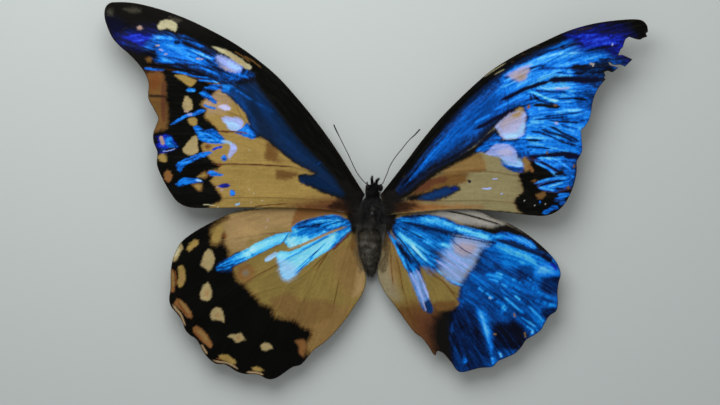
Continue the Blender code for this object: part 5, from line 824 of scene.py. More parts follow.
leftHindwing = {
    "root": 5.1, "rise": 0.8, "span": 46.0, "trough": 0.75, "ground": "olive", "seed": 3, "veined": 1.0,
        "creaseShading": 0.16, "scuffed": 0.05, "eyespots": [-33, -6, 3.0, -34, -18, 2.4, -28, -26, 2.6, -19,
        -28, 2.0],
    "edge": [
        ("curve", [-3.25, 0.3, -6, 2.1, -11, 3.2, -17, 3.1, -22, 2.4, -26, 1.65, -28.9, 0.85, -33.7, -0.3,
            -38, -2.3, -42, -4.55, -45, -6.95, -46.75, -10.25, -47.35, -13.5, -47.5, -17.8, -47.8, -20.4,
            -47.3, -22.1, -45.9, -23.75, -44.8, -25.35, -43.95, -27.6, -42.9, -28.8, -41.35, -29.85,
            -39.6, -32.9, -38.25, -34.5, -36.8, -35.55, -34.55, -35.8, -31.95, -37.35, -30, -37.95,
            -27, -38.1, -24.4, -39.2, -22.8, -39, -20.05, -37.25, -18.6, -36.3, -16.8, -35.8, -13.7, -32.3,
            -11.7, -30.9, -10.05, -29.5, -8, -27.3, -5.9, -24.7, -3.9, -21.7, -2.1, -18.8, -1.45, -16.5,
            -1.5, -14.5, -2.25, -12.5, -3.15, -10.05, -3.4, -7.3, -3.7, -4.3, -3.3, -1.5]),
    ],
    "veins": [
        [-3.9, -0.2, -8, 0.9, -14, 1.9, -20, 1.8, -26, 0.9, -34, -1.5, -41.6, -5.3],
        [-4.2, -1.4, -9, -1.6, -14, -2.4, -19.4, -4.3, -26, -4.9, -34.5, -6.4, -41, -8.9, -46.2, -12],
        [-19.4, -4.3, -21, -6.9, -24, -8.3, -30, -11.3, -38, -15.6, -46.8, -20.4],
        [-4.4, -2.6, -10, -5.4, -16, -8.8, -22, -12, -29.5, -16.1, -37, -21.4, -43.2, -27],
        [-4.6, -3.6, -11, -9.9, -15, -13.7, -20, -16.8, -27.5, -19.2, -34, -25.4, -38.4, -33],
        [-20, -16.8, -21.5, -20.8, -26, -29, -31, -36.5],
        [-10.5, -9.6, -13, -13.4, -15.6, -19.6, -19.4, -28, -23.6, -38],
        [-4.4, -5.4, -6.4, -10, -7.8, -16, -9.2, -22, -12, -29.8],
    ],
    "marks": [
        ("area", "fawn", 1.8, [-17, 2, -26, 1.4, -34, -1, -35, -8, -30, -8.6, -24, -4.4, -18, -3.4]),
        ("area", "olive", 1.6, [-26, -16.4, -20, -15, -13, -13, -10, -18, -14, -20, -22, -19, -27, -19.6]),
        ("area", "tawny", 1.6, [-17, -21, -10, -22, -5, -22, -8, -30, -14, -35, -16, -30]),
        ("area", "drab", 0.8, [-24, -20.4, -21, -19, -19, -19, -17.5, -19.9, -16.5, -20.7, -14, -20.4,
            -10, -20.8, -8.5, -21.5, -9, -24, -13, -26, -16, -26.6, -20, -25, -23, -22.6]),
        ("area", "tawny", 1.8, [-3.6, -5, -5, -7.4, -9, -9.2, -8, -16, -5, -20, -2, -12]),
        ("area", "fawn", 1.0, [-1.4, -13, -2.8, -12, -3.6, -16, -4.4, -20, -2, -18]),
        ("line", "brown", 0.6, [-3.9, -5.6, -4.3, -7.2, -4.6, -9]),
        ("area", "rust", 0.5, [-17.6, 1.2, -14, 1.2, -10, 0.9, -4, 0.6, -4, -1, -7, -0.6, -10, -0.4,
            -12, -0.6, -14, -1, -16, -1.5, -17.8, -2.4, -18.9, -3.2, -18.6, -1]),
        ("line", "russet", 0.36, [-5.2, -4.8, -7, -6.4, -9.4, -8.8]),
        ("area", "rust", 1.2, [-32, -14, -31, -12.4, -29.4, -12, -28, -13.2, -28.2, -15.2, -30, -16,
            -31.6, -15.4]),
        ("area", "tawny", 0.7, [-30.8, -14.2, -30, -13.2, -29, -13.4, -28.8, -14.8, -30, -15.2]),
        ("area", "grey", 0.5, [-30.4, -14.2, -30, -13.6, -29.4, -13.7, -29.2, -14.5, -30, -14.8]),
        ("area", "olive", 0.8, [-29.4, -7, -28.6, -6, -27.8, -6.8, -28.4, -7.4]),
        ("rim", "black", 0.85, [-34, -0.9, -36, -2.1, -37, -2.9, -37.9, -4, -38, -6, -37.6, -7.4,
            -36.4, -7.5, -35.7, -6.6, -35.4, -5.4, -34.8, -4.7, -34.6, -5.7, -34.8, -7, -34.2, -8.2,
            -33.7, -9.8, -33.4, -11.6, -32.8, -13.4, -32.4, -14.6, -32, -15.6, -31, -16.5, -29.9, -17.2,
            -29, -18.4, -28, -19.4, -27, -20.2, -26.4, -21.2, -24.8, -21.8, -23.6, -22.3, -23.4, -23.2,
            -23.2, -24.2, -22, -24.8, -20, -25.2, -18.4, -25.4, -17.2, -26.2, -16, -27.2, -14.6, -27.5,
            -14.2, -28.2, -14.6, -29.5, -15.5, -31.5, -15, -34, -17, -40, -36, -40, -50, -26, -52, -12,
            -46, -4, -38, 0]),
        ("line", "redBrown", 0.24, [-35, -4.9, -34.6, -5.9]),
        ("area", "tan", 0.3, [[-37.6, -5.6, -37.2, -4.4, -36.4, -3.2, -35.2, -3.2, -35.6, -5.2, -35.9, -6.4,
            -36.4, -7, -37, -7, -37.6, -6.6], [-43.8, -8.6, -43.2, -7.6, -42.4, -6.7, -41.6, -6.2,
            -41, -6.5, -41.1, -7.4, -41.9, -8.2, -43, -9], [-45.6, -12.6, -44.8, -12.3, -44.2, -13,
            -44, -14.5, -44.1, -16, -44.8, -17.2, -45.4, -17.5, -45.8, -16.4, -45.6, -14.6]]),
        ("area", "paleTan", 0.3, [[-38.6, -8.5, -38, -8.7, -37.4, -9.6, -37.1, -10.8, -37.4, -12.2,
            -38, -13.3, -38.6, -13.6, -39.6, -12.9, -40.4, -12.3, -39.9, -11, -39.6, -9.8, -39.2, -9],
            [-46, -8.2, -45, -7.3, -44.6, -8, -45.2, -9.6, -46, -11, -46.8, -11.4, -46.9, -10.2, -46.3, -9],
            [-39.4, -16.7, -38.8, -16.4, -38.2, -17, -37.8, -18.2, -37.8, -19.4, -38.3, -20.5, -39.2, -20.6,
            -40.2, -20.4, -40.5, -19.4, -40.2, -18.3, -39.9, -17.4], [-37.7, -22.9, -36.8, -22.4,
            -35.8, -22.4, -35.2, -23.2, -35, -24.6, -34.9, -25.8, -35.4, -25.4, -36.4, -25.2, -37.6, -25.3,
            -38, -24.4], [-33.9, -29, -33, -28.6, -32, -28.6, -31, -28.3, -30.4, -29, -29.8, -29.9,
            -30.6, -30.1, -31.3, -30.5, -32.2, -30.3, -32.9, -29.6], [-26.3, -31.2, -25.6, -30.8,
            -24.4, -30.8, -23.6, -31.4, -23.4, -32, -24.2, -32.2, -25.2, -32.6, -26, -32.2]]),
        ("area", "amber", 0.6, [[-39.3, -18.6, -38.7, -18, -38.4, -19, -38.9, -19.8], [-37, -24.2,
            -36.4, -23.6, -35.9, -24.4, -36.4, -24.8], [-32, -29.3, -31.2, -29, -31, -29.8, -31.8, -29.9],
            [-45, -14.6, -44.7, -13.6, -44.6, -15.6, -45, -16.4]]),
        ("line", "cream", 0.3, [-46.5, -10.4, -45.9, -9.2, -45.4, -8.2]),
        ("area", "rust", 0.28, [[-47.4, -13, -46.8, -13.4, -46.4, -15, -46.4, -17, -46.6, -18.8,
            -47.4, -18.6], [-46, -20.2, -45, -20.6, -44, -21.4, -43, -22.6, -42.4, -23.8, -42.6, -24.9,
            -43.4, -24.6, -44.3, -23.6, -45.2, -22.6, -46.6, -21.5], [-42.2, -27, -41.4, -26.6, -40, -27.5,
            -39, -28.6, -38.2, -29.8, -37.7, -30.8, -37.9, -31.7, -38.8, -31.4, -39.8, -30.4, -41, -29.2,
            -42, -28.2]]),
        ("line", "tawny", 0.36, [[-47, -13.8, -46.9, -17.6], [-45.4, -20.8, -44, -22.2, -43, -23.6],
            [-41.2, -27.6, -39.8, -28.8, -38.6, -30.4]]),
        ("line", "pinkTan", 0.2, [[-47, -21.6, -46, -22.8, -45, -24, -44.4, -25.6, -43.9, -26.6],
            [-40.2, -31, -39.6, -32, -38.8, -33.2], [-37.6, -34.7, -36, -35.1, -34, -35.4, -32.4, -36.2,
            -31.6, -36.8], [-29.6, -37.5, -27, -37.7, -25.5, -38.2]]),
        ("line", "redBrown", 0.16, [[-45.8, -20.6, -44.8, -22.4, -43.4, -24.2], [-42, -28, -40.2, -30],
            [-36.8, -34.2, -34, -34.8], [-46.3, -13.6, -46.1, -17]]),
        ("area", "tan", 0.26, [[-36.2, -33.5, -35, -33.3, -33.8, -33.5, -32.8, -34.3, -32, -35.2,
            -32.3, -35.6, -33.4, -35.4, -34.6, -34.8, -36, -34.2], [-28.5, -36.4, -27.2, -36.3,
            -26.2, -36.7, -25.5, -37.2, -26.6, -37.3, -28, -37]]),
        ("area", "rust", 0.45, [-18, -30.2, -16.6, -29.8, -15.6, -30.6, -15.6, -32.4, -16.2, -34, -17, -33,
            -17.3, -31.6]),
        # dark root, then blue rays from it
        ("area", "sable", 0.9, [-2.6, 1.2, -5, 1.4, -6, 0.2, -5.8, -2, -5.6, -3.6, -4.8, -5, -2.6, -5]),
        ("area", "navy", 0.3, [-36.9, -13.6, -36.6, -12.2, -34, -10.5, -31, -9, -32, -11.6, -33.4, -13.8]),
        ("area", "cyan", 0.2, [-19, -3.4, -18.2, -2.7, -17, -2.1, -15, -1.4, -13, -0.9, -11, -0.5, -9, -0.5,
            -7.2, -0.8, -6, -1.4, -5.2, -2.2, -4.8, -3.1, -6, -3.1, -8, -3.7, -10, -4.4, -12, -5.2, -14, -6,
            -16, -6.9, -18, -7.8, -19.6, -8.2, -20.2, -7.6, -20.7, -6.8, -19.9, -5.9, -19, -4.8]),
        ("area", "cyan", 0.18, [-36.4, -13.8, -36.7, -13.1, -35.6, -11.6, -34, -10.7, -32.6, -10, -30.6, -9,
            -29, -8.1, -27.6, -7.2, -26, -6.5, -24, -5.6, -22, -4.9, -20, -4.5, -18.9, -4.5, -19.6, -5.5,
            -20.5, -6.4, -21.1, -7, -23, -7.8, -25, -8.8, -27, -9.8, -29, -10.8, -31, -11.9, -33, -12.9,
            -33.4, -13.6, -34.4, -13.5, -35.4, -13.4]),
        ("area", "pale", 0.16, [-25.4, -11.4, -25.3, -10.8, -24, -10, -22.8, -9.3, -22, -9.4, -22.3, -9.9,
            -23.4, -10.8, -24.6, -11.5]),
        ("area", "cyan", 0.18, [-22.2, -9.4, -21.4, -8.9, -20, -9.2, -18, -8.6, -16, -7.6, -14, -6.6,
            -12, -5.7, -10, -4.9, -8, -4.2, -6, -3.5, -4.9, -3.2, -4.8, -3.9, -5.6, -4.8, -7, -6.2,
            -8.4, -7.6, -10, -8.8, -12, -9.9, -13.8, -11, -15.4, -12.2, -16.6, -13.4, -17.6, -14.4,
            -18.8, -15.1, -20.2, -15.7, -21.2, -14.8, -21.6, -14, -21.8, -12.6, -22.1, -11.4,
            -22.6, -10.4]),
        ("calm", 0.45, 0.6, [-37, -14, -28, -7, -18, -3.6, -12, -5.4, -6, -3.4, -20, -16.4, -23, -10]),
        ("glow", 0.02, 0.7, [-20, -4.4, -17, -4.8, -14, -4.6, -11, -3.2, -10, -0.6, -14, -0.8, -19, -2.6]),
        ("glow", 0.1, 0.8, [-10, -4.4, -10, -0.4, -7, -0.8, -5, -3]),
        ("glow", 0.14, 0.8, [-20, -5.2, -16, -5, -12, -4.2, -10, -4.4, -14, -6, -19.6, -8.2]),
        ("glow", 0.4, 0.6, [-20.4, -6.4, -18.6, -5.8, -15, -5.9, -17, -7.6, -20, -8.4]),
        ("glow", 0.28, 1.2, [-37, -14, -32, -9.4, -28, -7, -28.6, -10.6]),
        ("glow", 0.6, 1.6, [-30, -11.2, -29.4, -7, -18.4, -4, -20, -7]),
        ("glow", 0.66, 0.8, [-23, -9, -14, -6, -9, -4.6, -9.6, -8.4, -16, -13, -20.4, -16.4, -23, -12]),
        ("glow", 0.18, 0.6, [-10, -5.4, -8, -4, -5, -3.6, -8, -7.4]),
        ("ray", -0.24, 0.3, [[-30, -8.6, -28.4, -9.6, -28, -10], [-35.6, -12.4, -32.6, -11.4, -29, -10.2]]),
        ("ray", -0.4, 0.2, [[-18.4, -3.6, -15, -3.2, -11, -2.4], [-19.8, -4.9, -20.2, -5.7, -21, -6.7],
            [-36, -13, -34, -12.6, -32.4, -12], [-12, -3.6, -9, -2.4, -6, -1.8]]),
        ("ray", -0.5, 0.3, [-17.4, -9, -15, -8, -13, -6.9, -11, -5.8, -9.4, -4.9]),
        ("ray", -0.4, 0.2, [-21.8, -11.9, -19, -10.2, -16, -8.8]),
        ("ray", -0.5, 0.14, [[-15, -11.1, -13, -9.1, -10.6, -6.7], [-19.6, -14.8, -17, -12.6, -14.4, -10.2,
            -12, -8.2], [-18.8, -15, -16, -12.4, -13.4, -10]]),
        ("area", "pale", 1.0, [-22.2, -11, -21.6, -14, -20.4, -15.8, -18.4, -15, -17.8, -13, -20, -11.4]),
        ("line", "pinkTan", 0.22, [-20, -8.7, -16, -7.4, -12, -5.6, -9, -4.25, -7, -3.5]),
        ("line", "vein", 0.14, [-36, -1.1, -33, 0.1, -28, 0.8, -24, 1.3, -20, 1.6, -12, 1.8]),
        ("line", "cream", 0.2, [-34, -0.2, -31, 0.8, -27, 1.2, -24, 1.4]),
        ("line", "pink", 0.26, [[-25.2, -3.3, -24.8, -3.3], [-24.8, -1.8, -24.4, -1.6]]),
    ],
    "specks": [],
}

rightHindwing = {
    "root": 5.1, "rise": 0.8, "span": 46.0, "trough": 0.75, "ground": "olive", "seed": 4, "veined": 0.6,
        "creaseShading": 0.1, "scuffed": 0.2, "eyespots": [31, -8, 3.0, 33, -19, 2.4, 27, -26, 2.6, 19, -27, 2.0],
    "edge": [
        ("curve", [3.25, 0.1, 6, 1.8, 12, 2.7, 18, 2.3, 22, 1.4, 25.9, 0.2, 28, -0.9, 32, -2.35,
            36.05, -4.65, 39.7, -7.5, 42.45, -10.25, 43.8, -12.15, 44.45, -14.45, 44, -16.5, 43.75, -18.8,
            43.8, -21.5, 43.4, -23.1, 41.7, -24.35, 40.75, -25.95, 39.8, -27.6, 37.9, -29, 36.4, -29.85,
            35.2, -31.6, 33.7, -33.1, 31.6, -34.15, 29.7, -35, 28.45, -36.25, 25.5, -36.55, 21.3, -37.55,
            20.25, -37.3, 18.5, -34.95, 16.7, -33, 15.5, -32.5]),
        ("straight", [15.25, -32.8, 15, -33.7, 14.45, -33.3]),
        ("curve", [13.2, -31.2, 11.85, -29.5, 10.15, -28.25, 8.4, -26.1, 5.7, -22.3, 3.05, -18.8,
            1.8, -16.3, 1.35, -13.8, 2, -10.8, 2.6, -7.5, 3.35, -4.5, 3.3, -1.5]),
    ],
    "veins": [
        [3.9, -0.4, 8, 0.7, 14, 1.2, 20, 0.6, 26, -1.4, 33, -4, 40.4, -9.2],
        [4.2, -1.4, 9, -1.6, 14, -2.8, 18, -5, 25, -6.6, 33, -9, 43.4, -13.6],
        [18, -5, 20.5, -8.2, 26, -11, 33, -15, 43, -20.6],
        [4.4, -2.6, 9, -5.8, 14, -8.8, 20, -12.6, 27, -17.4, 33, -22, 38.8, -27.4],
        [4.6, -3.6, 9, -9, 13, -13.4, 17.6, -17.4, 24, -22, 29, -27, 33.2, -32.2],
        [17.6, -17.4, 19.4, -21.6, 23.6, -29, 28, -35.2],
        [10, -10.2, 12, -14.6, 14, -20, 17, -28, 20.8, -36.4],
        [4.4, -5.6, 5.5, -10, 6.7, -15, 8, -20.4, 11.4, -27.8],
    ],
    "marks": [
        ("area", "tawny", 1.4, [1, -5, 5, -8, 6.4, -13, 6, -17, 3, -16, 0, -12]),
        ("area", "margin", 1.6, [0, -8, 3.2, -9, 4.4, -14, 6.4, -20.6, 3, -20, -1, -15]),
        ("area", "brown", 1.8, [6, -22, 10, -20.8, 17, -21.4, 18, -26, 16, -34, 8, -29, 3, -22]),
        ("area", "russet", 2.6, [8.6, -24, 14, -23, 17, -24, 17, -34, 14, -33, 10, -28]),
        ("area", "sable", 0.9, [2.6, -4.8, 4.2, -4.4, 5.2, -2.6, 5.6, -0.6, 5.4, 1.4, 2.6, 1.4]),
        ("line", "brown", 0.5, [[3.6, -4.6, 4.2, -7], [2.9, -5.4, 3.1, -9]]),
        ("area", "warmGrey", 0.5, [12, 1.6, 20, 1.2, 24, 0.8, 28, -0.6, 32, -2.2, 32, -3, 30, -3.9,
            28, -3.8, 24, -3.2, 20, -2, 18, -1.2, 14, -0.4]),
        ("area", "stone", 0.4, [8, 0.6, 13, 1.2, 16, 0.8, 14, -0.2, 9, -0.2]),
        ("line", "umber", 0.2, [17, 0.5, 20, 0.1, 24, -0.9, 28, -2, 31, -3]),
        ("area", "umber", 0.5, [30.4, -3.1, 32, -2.4, 36.4, -4.2, 41, -7.8, 43.6, -11, 41.4, -10.2,
            38, -7.4, 34, -4.9, 31, -3.9]),
        ("line", "stone", 0.13, [26, -0.5, 30, -1.9, 34, -3.8, 38, -6.2, 40.4, -8.4]),
        # outer blue
        ("area", "soot", 0.7, [16.6, -23, 17.8, -22, 19.4, -21, 22, -18, 24, -14, 25, -9, 25.4, -5,
            21, -2.9, 24, -2.9, 28, -3.3, 32, -3.1, 36.4, -4.7, 40, -7.2, 45, -12, 46, -26, 38, -34,
            20, -40, 17, -36, 16, -32, 16.4, -27]),
        ("area", "soot", 2.6, [13.4, -27, 15, -24.6, 17, -22.6, 18.6, -26, 18.4, -36, 15.6, -34.6,
            14, -31]),
        ("area", "teal", 0.5, [27.6, -7.2, 30, -5.9, 34, -7.2, 38.6, -8.6, 41, -9.6, 46, -11, 48, -18,
            45, -26, 36, -34, 22, -40, 18.7, -37, 18.4, -31, 17.8, -27, 18.4, -23.6, 20, -20.8, 20.6, -18.4,
            21, -16, 22, -15, 22.8, -13.8, 24.2, -12, 24.9, -10, 26.2, -8.2]),
        ("calm", 0.3, 1.5, [19, -20, 27, -8, 46, -10, 46, -26, 20, -40]),
        ("glow", -0.2, 1.0, [25, -8.4, 30, -8.4, 30, -13.6, 24.4, -13.4]),
        ("glow", 0.16, 1.6, [26, -7.4, 34, -8, 41, -11, 41, -14, 34, -13, 27, -12]),
        ("glow", 0.04, 1.0, [30, -17, 38, -18, 38, -22, 30, -21]),
        ("glow", -0.04, 1.2, [22, -17, 27, -17.4, 27, -22, 22, -22.6]),
        ("glow", -0.32, 1.6, [17, -21.6, 24.4, -22.6, 25.6, -27, 27, -33, 27, -38, 17, -38]),
        ("ray", 0.3, 0.4, [[18.8, -25.6, 18.9, -28.4], [21.6, -33.6, 21.8, -35.6]]),
        ("glow", -0.1, 1.6, [29, -17, 38, -21, 38, -30, 28, -36, 26, -26]),
        ("glow", -0.42, 0.9, [28.4, -26, 35, -26.6, 36, -31, 29, -31.6]),
        ("glow", -0.34, 0.7, [40, -15.4, 45, -15.2, 45, -18.8, 40, -18.4]),
        ("glow", -0.4, 0.6, [40, -22.6, 45, -22.4, 44, -25, 40.4, -24.4]),
        ("glow", -0.2, 0.8, [34.6, -12.6, 37.6, -12, 38, -15.6, 34.6, -15.6]),
        ("glow", -0.2, 0.8, [33, -17.6, 40, -19.8, 42, -21, 37, -21.4]),
        ("line", "blue", 0.8, [28.6, -5.3, 31, -5.4, 34, -6, 36.6, -7, 38.8, -8.4]),
        ("ray", 0.3, 0.6, [28.6, -5.4, 31, -5.4, 34, -6, 36.6, -7, 39, -8.4]),
        ("line", "navy", 0.42, [29, -6.2, 32, -7.1, 35, -8.2, 38, -9.2, 40, -10, 42, -10.9]),
        ("line", "purple", 0.6, [40, -9.9, 41.2, -10.6, 42.4, -11.4]),
        ("ray", 0.36, 0.8, [28, -7.3, 31, -8.2, 34, -9.3, 37, -10.7, 39, -12.4]),
        ("area", "blue", 0.3, [38.2, -14.6, 39, -12.4, 40.6, -11.8, 42.4, -12, 44.2, -13.4, 44.2, -14.8,
            41.6, -15.2]),
        ("glow", 0.32, 0.4, [38.2, -14.6, 39, -12.4, 40.6, -11.8, 42.4, -12, 44.2, -13.4, 44.2, -14.8,
            41.6, -15.2]),
        ("line", "violet", 0.4, [42, -11.8, 43, -12.6, 43.6, -13.6]),
        ("ray", 0.17, 0.44, [[33, -15.7, 34.2, -15.8], [34.7, -16.3, 35.3, -16.3], [36, -16.5, 37.3, -17.3],
            [37.7, -17.8, 38.3, -17.9], [39, -18.4, 40.2, -19.3], [40.7, -19.4, 42, -20.4]]),
        ("ray", 0.2, 0.44, [[38.4, -20.5, 39.6, -21], [40.1, -21, 41.1, -21.5], [41.6, -21.4,
            43.6, -21.8]]),
        ("ray", 0.36, 0.25, [[27.4, -15.5, 29, -15.9, 30, -16.4], [30.4, -16.6, 32, -17.4], [36.6, -15,
            37.6, -16], [29, -14, 31, -14.6]]),
        ("ray", 0.36, 0.5, [26.6, -14.6, 28, -14.6, 31, -15.4]),
        ("ray", 0.44, 0.32, [[31, -19.6, 33, -21.4, 35, -23, 36, -23.8], [33.6, -19.4, 35, -20.6],
            [36.8, -21.8, 38.6, -23.6, 40.2, -25.6, 40.2, -26.2]]),
        ("ray", 0.44, 0.26, [[35, -24.4, 37, -25.8, 39, -27], [36.4, -26.6, 38, -27.8, 37.6, -28.4],
            [30.2, -33, 30.6, -34.2]]),
        ("ray", 0.2, 0.14, [[37.6, -23, 39.8, -25.9], [32, -18, 36, -19.8, 38.6, -22], [30, -17.8,
            35, -21.4]]),
        ("line", "blue", 0.5, [37.4, -28.2, 38.2, -28.4]),
        ("ray", 0.3, 0.5, [37.4, -28.2, 38.2, -28.4]),
        ("ray", 0.36, 0.4, [[25, -17.6, 26.4, -18.6], [26.8, -18.8, 27.6, -19.4, 28.8, -20.2], [29.2, -20.6,
            30, -21.2, 31.4, -22]]),
        ("line", "pale", 0.22, [27.5, -19.8, 28.2, -20.2]),
        ("ray", 0.46, 0.8, [30.6, -22.2, 31.6, -23]),
        ("line", "blue", 0.5, [24.8, -22.6, 25.6, -23.8, 26.2, -25, 26.8, -27, 27.4, -29, 28, -31,
            28.2, -33]),
        ("ray", 0.4, 0.9, [24.8, -22.6, 25.6, -23.8, 26.2, -25, 26.8, -27, 27.4, -29, 28, -31, 28.2, -33]),
        ("ray", 0.2, 0.3, [25.6, -24, 26.6, -27, 27.6, -31]),
        ("line", "blue", 0.6, [26.8, -23.4, 27.3, -23.8]),
        ("line", "blue", 0.36, [[28.2, -34, 28.6, -35.8], [29.8, -32.6, 30.6, -34], [22.2, -34.2,
            22.2, -35.4], [34, -32, 34.6, -32.4]]),
        ("ray", 0.4, 0.36, [[28.2, -34, 28.6, -35.8], [29.8, -32.6, 30.6, -34], [22.2, -34.2,
            22.2, -35.4]]),
        ("line", "tawny", 0.16, [[28.6, -28.6, 29.4, -28.6], [33.4, -23.6, 33.8, -24.6], [36, -28,
            36.2, -29.4]]),
        ("area", "soot", 1.2, [15, -25, 17, -23.4, 18.2, -26, 18, -30, 18.4, -36, 16, -33.6]),
        # upper fan and pale middle
        ("area", "cyan", 0.24, [4.8, -2.6, 5, -1.9, 6.5, -1, 9, -0.4, 12, -0.3, 15, -0.5, 17.5, -1.2,
            20, -2.4, 22, -3.1, 24, -3.7, 26, -4.2, 28, -4.8, 30, -5, 32, -5, 30, -6.4, 28, -7.2, 26, -6.6,
            22, -5.7, 20, -5.5, 19.6, -8, 18, -10.2, 16, -9.2, 14.6, -9.6, 13.6, -10.8, 13.6, -11.6,
            15.4, -13, 18, -15.4, 21.6, -16.8, 21.8, -17.4, 19, -16.8, 17, -15, 14, -12.9, 11, -12.2,
            8.6, -9.4, 6.4, -7, 4.8, -4.8]),
        ("calm", 0.3, 1.0, [6, -3, 18, -3, 18, -8, 12, -10, 7, -6.4]),
        ("area", "haze", 1.0, [13.6, -11, 14.6, -9.7, 16, -9.2, 18.6, -7.6, 19.4, -5.8, 22, -5.8,
            27.6, -7.3, 26.2, -8.2, 25.4, -9, 24.9, -10, 24.4, -11.4, 23.6, -12.8, 22.6, -13.6, 22.6, -14.2,
            21.6, -15.4, 21, -16.4, 19, -16.4, 17, -14.6, 15, -12.8]),
        ("area", "greyPink", 1.0, [19.4, -7.4, 21, -6.8, 24.6, -7.6, 24.2, -9.2, 22, -10, 20, -9.2]),
        ("area", "cyan", 1.8, [11.6, -8.6, 15.4, -8.2, 16.8, -10.2, 16.4, -12.6, 14.4, -14, 12, -12]),
        ("line", "lavender", 0.24, [[15, -11, 18, -13.2, 21, -15.6], [16.4, -10.4, 19.4, -12.4, 22, -14.2],
            [17.6, -9.4, 20.4, -11.2, 23, -12.8]]),
        ("ray", 0.2, 0.4, [14, -10.6, 18, -13.2, 21.6, -16.2]),
        ("line", "steel", 0.12, [[18, -5.2, 20, -7.4, 22, -8.9, 24, -9.8], [18, -5.4, 22, -5.9, 26, -6.7,
            28, -7.3]]),
        ("line", "cyan", 0.4, [10.6, -1.4, 14, -1.8, 17, -2.6, 20, -3.6, 23, -4.5, 26, -5.4, 28, -6]),
        ("ray", 0.3, 0.9, [10.6, -1.4, 14, -1.8, 17, -2.6, 20, -3.6, 23, -4.5, 26, -5.4, 28, -6]),
        ("ray", 0.26, 0.9, [20, -3.6, 23, -4.5, 26, -5.4, 28, -6]),
        ("ray", -0.3, 0.5, [[7, -2.1, 11, -2.9, 15, -3.9, 19, -5, 22, -5.5], [6.8, -0.9, 9, -0.8,
            12, -0.7]]),
        ("ray", 0.2, 0.3, [[12, -6.4, 14, -7.2], [15.4, -7.2, 16.8, -7.8], [8, -4.2, 12, -5.4]]),
        ("ray", 0.4, 0.5, [16.2, -7.3, 18, -7.8, 20, -8.4]),
        ("ray", 0.4, 1.0, [5.6, -4.4, 8, -6.2, 11, -8.6, 13, -10.4, 14, -11.2]),
        ("ray", 0.5, 0.3, [[9, -7, 12, -10.4, 15, -12.8], [15, -13.2, 19, -16.1, 21.6, -17.1]]),
        ("ray", -0.5, 0.14, [[7.6, -6.6, 11, -10, 13.4, -12.4], [10, -7.6, 13.4, -10.4], [7, -3.4,
            12, -6]]),
        # lower rays and the brown beside them
        ("area", "olive", 0.25, [11.8, -13.4, 13, -14.6, 15, -15.2, 16.6, -16.2, 18, -17.6, 19.4, -19.6,
            20.4, -21.6, 18, -22, 16, -21, 14.4, -21.4, 13.8, -20, 12.8, -17]),
        ("line", "brown", 0.2, [12.6, -13.1, 15, -14.9, 16.8, -16.2, 18.4, -18, 20, -20.4]),
        ("area", "brown", 0.6, [14.6, -21, 17, -20.8, 20.2, -21, 19, -22.6, 15.4, -22.8]),
        ("area", "cyan", 0.2, [3.3, -4.4, 4.4, -6.2, 5.4, -8, 6.4, -10.2, 7.2, -12, 8.2, -13.8, 9, -15.4,
            10, -18, 11, -20.4, 12, -22.6, 13, -23.5, 14.3, -23.5, 14.4, -22.4, 13.8, -20.8, 13, -18.6,
            12.2, -16.2, 11.4, -13.6, 10.9, -12, 10.2, -10.6, 8.4, -8.8, 6.4, -7, 4.8, -5.4, 3.8, -4.2]),
        ("ray", 0.5, 0.34, [3.9, -4.8, 5.8, -8.2, 7.2, -11.2, 8.6, -13.8]),
        ("ray", -0.42, 0.6, [5.4, -7, 8, -9.8, 9.8, -12.2]),
        ("ray", 0.3, 0.3, [5.4, -5.6, 8, -8, 10.4, -10.6]),
        ("line", "navy", 0.15, [4.4, -4, 7, -6.7, 9, -9.4, 10.8, -11.6, 12, -13.2]),
        ("area", "haze", 0.8, [8.8, -14.4, 10.8, -14.2, 12, -16.6, 12.9, -20, 12.6, -22, 11.8, -21.4,
            10.4, -18]),
        ("line", "lavender", 0.18, [[8.9, -13.8, 10.8, -17.4, 12.4, -21], [10.4, -13.2, 12, -16.4,
            13.6, -20.6]]),
        ("area", "steel", 0.25, [12.2, -21.2, 13.4, -20.4, 14.3, -22.2, 14.2, -23.4, 13, -23.5]),
        ("line", "mist", 0.14, [12, -20.6, 12.4, -22, 12.9, -23.3]),
        ("line", "brown", 0.16, [[5.8, -10, 6.6, -14, 7.4, -19], [4.4, -9, 4.6, -13, 5, -17]]),
        ("line", "vein", 0.2, [8, -22, 11, -27]),
    ],
    "specks": [],
}


def lineField(x, y, lines, step=1.0, beyond=0.0, taper=0.0):
    # for each line: distance, the same with + on its left, length along it in mm, and width that tapers
    field = []
    for flat in lines:
        line = smoothRun(pairs(flat), step)
        if beyond:
            line = np.vstack([line, line[-1] + beyond * normalised(line[-1:] - line[-2:-1])])
        size = np.linalg.norm(np.diff(line, axis=0), axis=1).sum()
        distance, share, side, _, _ = nearLine(x, y, line)
        field.append((distance, distance * side, share * size, 1 - taper * share))
    return field


def veinField(wing, x, y):  # the veins run 8 mm on past the wing's edge, and narrow to 0.45 of their width
    return lineField(x, y, wing["veins"], 1.5, 8.0, 0.55)


def streaks(field, across, along, seed):  # noise drawn out along the nearest veins, blended by nearness
    total, weight = 0.0, 0.0
    for k, (distance, signed, run, _) in enumerate(field):
        near = 1 / (distance + 0.4) ** 3
        total = total + near * cloud(signed / across, run / along, seed + 5 * k, 3)
        weight = weight + near
    return total / weight


def wingOutline(wing, step):  # curved and straight runs in turn, without doubled corners
    points = []
    for kind, flat in wing["edge"]:
        run = pairs(flat)
        if kind == "curve":
            run = smoothRun(run, step)
        if points and np.linalg.norm(run[0] - points[-1]) < 0.05:
            run = run[1:]
        points.extend(run)
    return np.array(points)


